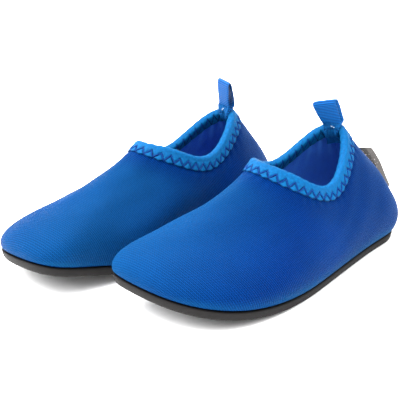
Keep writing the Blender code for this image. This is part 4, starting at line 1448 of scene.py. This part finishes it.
def finish_cad_node(side, node, material):
    """Gives a CAD node that stays its finished material."""
    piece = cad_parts[f"{side}_{node}"]
    for slot in piece.material_slots:
        slot.material = material


# ---------------------------------------------------------------- Heel label

# Corners of the label's free edge, as (outward, forward, height), and heights of its sewn edge.
LABEL_FREE_FOOT = (1.4, -15.4, 14.7)
LABEL_FREE_TOP = (-1.6, -2.3, 37.4)
LABEL_SEAM_FOOT = 18.5
LABEL_SEAM_TOP = 41.0
LABEL_TUCK = 1.6
LABEL_LAYER = 0.34
LABEL_FOLD = 0.3
LABEL_COLS = 61
LABEL_ROWS = 26
LABEL_BOW = 0.9
LABEL_RIPPLE = 0.35
LABEL_BEND = (-0.2, 5.5)
LABEL_CORNER = 0.5


def seam_line(heights):
    """Points on the heel's back seam at these heights."""
    points = Skin((math.pi,)).points[::-1, 0]
    return read_line(heights, points[:, 2], points)


def make_heel_label():
    """A woven label folded in half and sewn into the left heel's back seam by its two ends."""
    part = np.linspace(0, 1, LABEL_COLS)
    root = seam_line(LABEL_SEAM_FOOT + (LABEL_SEAM_TOP - LABEL_SEAM_FOOT) * part)
    root[:, 1] += LABEL_TUCK
    foot, top = np.array(LABEL_FREE_FOOT), np.array(LABEL_FREE_TOP)
    free = foot + (top - foot) * part[:, None]
    inward = unit(root - free)
    rounding = bump(part, 0.0, 0.03) + bump(part, 1.0, 0.03)
    free = free + inward * (LABEL_CORNER * rounding + LABEL_FOLD)[:, None]
    side = np.array((1.0, 0.0, 0.0))

    def row(share, apart):
        bow = LABEL_BOW * math.sin(share * math.pi * 0.5) * np.sin(part * math.pi)
        bow = bow - LABEL_RIPPLE * np.sin(part * TURN) * share
        return root + (free - root) * share + side * (apart + bow)[:, None]

    shares = np.linspace(0, 1, LABEL_ROWS)
    rows = [row(share, LABEL_FOLD + 0.25 * math.sin(share * math.pi)) for share in shares]
    for turn in (math.pi / 4, math.pi / 2, 3 * math.pi / 4):
        rows.append(row(1.0, LABEL_FOLD * math.cos(turn)) - inward * LABEL_FOLD * math.sin(turn))
    rows += [row(share, -LABEL_FOLD - 0.1 * math.sin(share * math.pi)) for share in shares[::-1]]
    widths = np.concatenate((shares, (1, 1, 1), shares[::-1]))
    sheet = np.array(rows)
    thickness = np.full(sheet.shape[:2], LABEL_LAYER / 2)
    thickness[:, 0] = thickness[:, -1] = LABEL_LAYER / 4
    length = float(np.linalg.norm(top - foot))
    mesh, run = banded_mesh("left", "label", sheet, thickness, part * length)
    share = widths[:, None]
    inside = smooth(share, 0.2, 0.4) * (1 - smooth(share, 0.75, 0.9)) * smooth(part, 0.35, 0.5)[None]
    inside = inside * (1 - smooth(part, 0.9, 0.96))[None]
    add_float(mesh, "rim", np.concatenate((inside, inside[:, ::-1]), axis=1))
    # The edge attribute is painted light: low at the sewn edge for painted shade, and above 1.3 at the
    # fold for a painted highlight.
    edge = smooth(share, 0.15, 0.75) * 1.43 + 0.1 * smooth(share, 0.9, 1.0) + 0 * part[None]
    add_float(mesh, "edge", np.concatenate((edge, edge[:, ::-1]), axis=1))
    piece = add_object("left_label", mesh, MATERIALS["label"])
    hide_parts("left_heel_label")
    middle = root.mean(axis=0)
    away = unit(free.mean(axis=0) - middle)
    start, end = (in_frame("left", middle + away * (LABEL_TUCK + bend)) for bend in LABEL_BEND)
    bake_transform(piece)


# ---------------------------------------------------------------- Floor, light and camera

FLOOR_SIZE = 6.0
CAMERA_TARGET = (0.003534, -0.011858, 0.030)
CAMERA_AZIMUTH = 43.68
CAMERA_ELEVATION = 21.27
CAMERA_DISTANCE = 0.4992
CAMERA_ROLL = -0.887
LENS_MM = 102.3
SENSOR_MM = 36.0
# Name, direction from the shoes as (azimuth, elevation), distance, size and power.
LIGHTS = (
    ("key", (-42.0, 58.0), 1.3, 2.0, 74.0),
    ("overhead", (52.0, 66.0), 1.3, 2.0, 44.0),
    ("back", (215.0, 45.0), 1.4, 1.4, 14.0),
)
WORLD_STRENGTH = 1.3


def outward_direction(azimuth, elevation):
    a, e = math.radians(azimuth), math.radians(elevation)
    return Vector((math.sin(a) * math.cos(e), -math.cos(a) * math.cos(e), math.sin(e)))


def make_floor():
    bm = bmesh.new()
    bmesh.ops.create_grid(bm, x_segments=12, y_segments=12, size=FLOOR_SIZE / 2)
    mesh = bpy.data.meshes.new("floor")
    bm.to_mesh(mesh)
    bm.free()
    add_object("floor", mesh, MATERIALS["floor"])


def make_world():
    world = bpy.data.worlds.new("studio")
    world.use_nodes = True
    background = world.node_tree.nodes["Background"]
    background.inputs["Color"].default_value = (1.0, 1.0, 1.0, 1.0)
    background.inputs["Strength"].default_value = WORLD_STRENGTH
    bpy.context.scene.world = world
    bpy.context.scene.view_settings.view_transform = "Standard"


def make_lights():
    for name, direction, distance, size, power in LIGHTS:
        data = bpy.data.lights.new(name, "AREA")
        data.shape = "DISK"
        data.size = size
        data.energy = power
        lamp = link_object(name, data)
        back = outward_direction(*direction)
        lamp.location = back * distance
        lamp.rotation_euler = back.to_track_quat("Z", "Y").to_euler()


def make_camera():
    data = bpy.data.cameras.new("camera")
    data.sensor_width = SENSOR_MM
    data.lens = LENS_MM
    camera = link_object("camera", data)
    back = outward_direction(CAMERA_AZIMUTH, CAMERA_ELEVATION)
    camera.location = Vector(CAMERA_TARGET) + back * CAMERA_DISTANCE
    roll = Matrix.Rotation(math.radians(CAMERA_ROLL), 3, "Z")
    camera.rotation_euler = (back.to_track_quat("Z", "Y").to_matrix() @ roll).to_euler()
    bpy.context.scene.camera = camera


# ---------------------------------------------------------------- The pair


def make_shoe(side):
    make_upper(side)
    make_lining(side)
    make_binding(side)
    make_binding_stitches(side, "outer", OUTER_STITCH, 0.0, ZIGZAGS)
    make_binding_stitches(side, "inner", INNER_STITCH, ZIGZAGS * INNER_GAP, ZIGZAGS * (1 - INNER_GAP))
    make_heel_seam(side)
    make_pull_loop(side)
    make_bar_tack(side)
    make_seam_tape(side)
    make_sockliner(side)
    make_outsole(side)
    finish_cad_node(side, "insole_board", MATERIALS["board"])
    finish_cad_node(side, "strobel_thread", MATERIALS["thread"])


make_floor()
make_world()
make_lights()
make_camera()
make_shoe("left")
make_shoe("right")
make_heel_label()

bpy.context.view_layer.update()
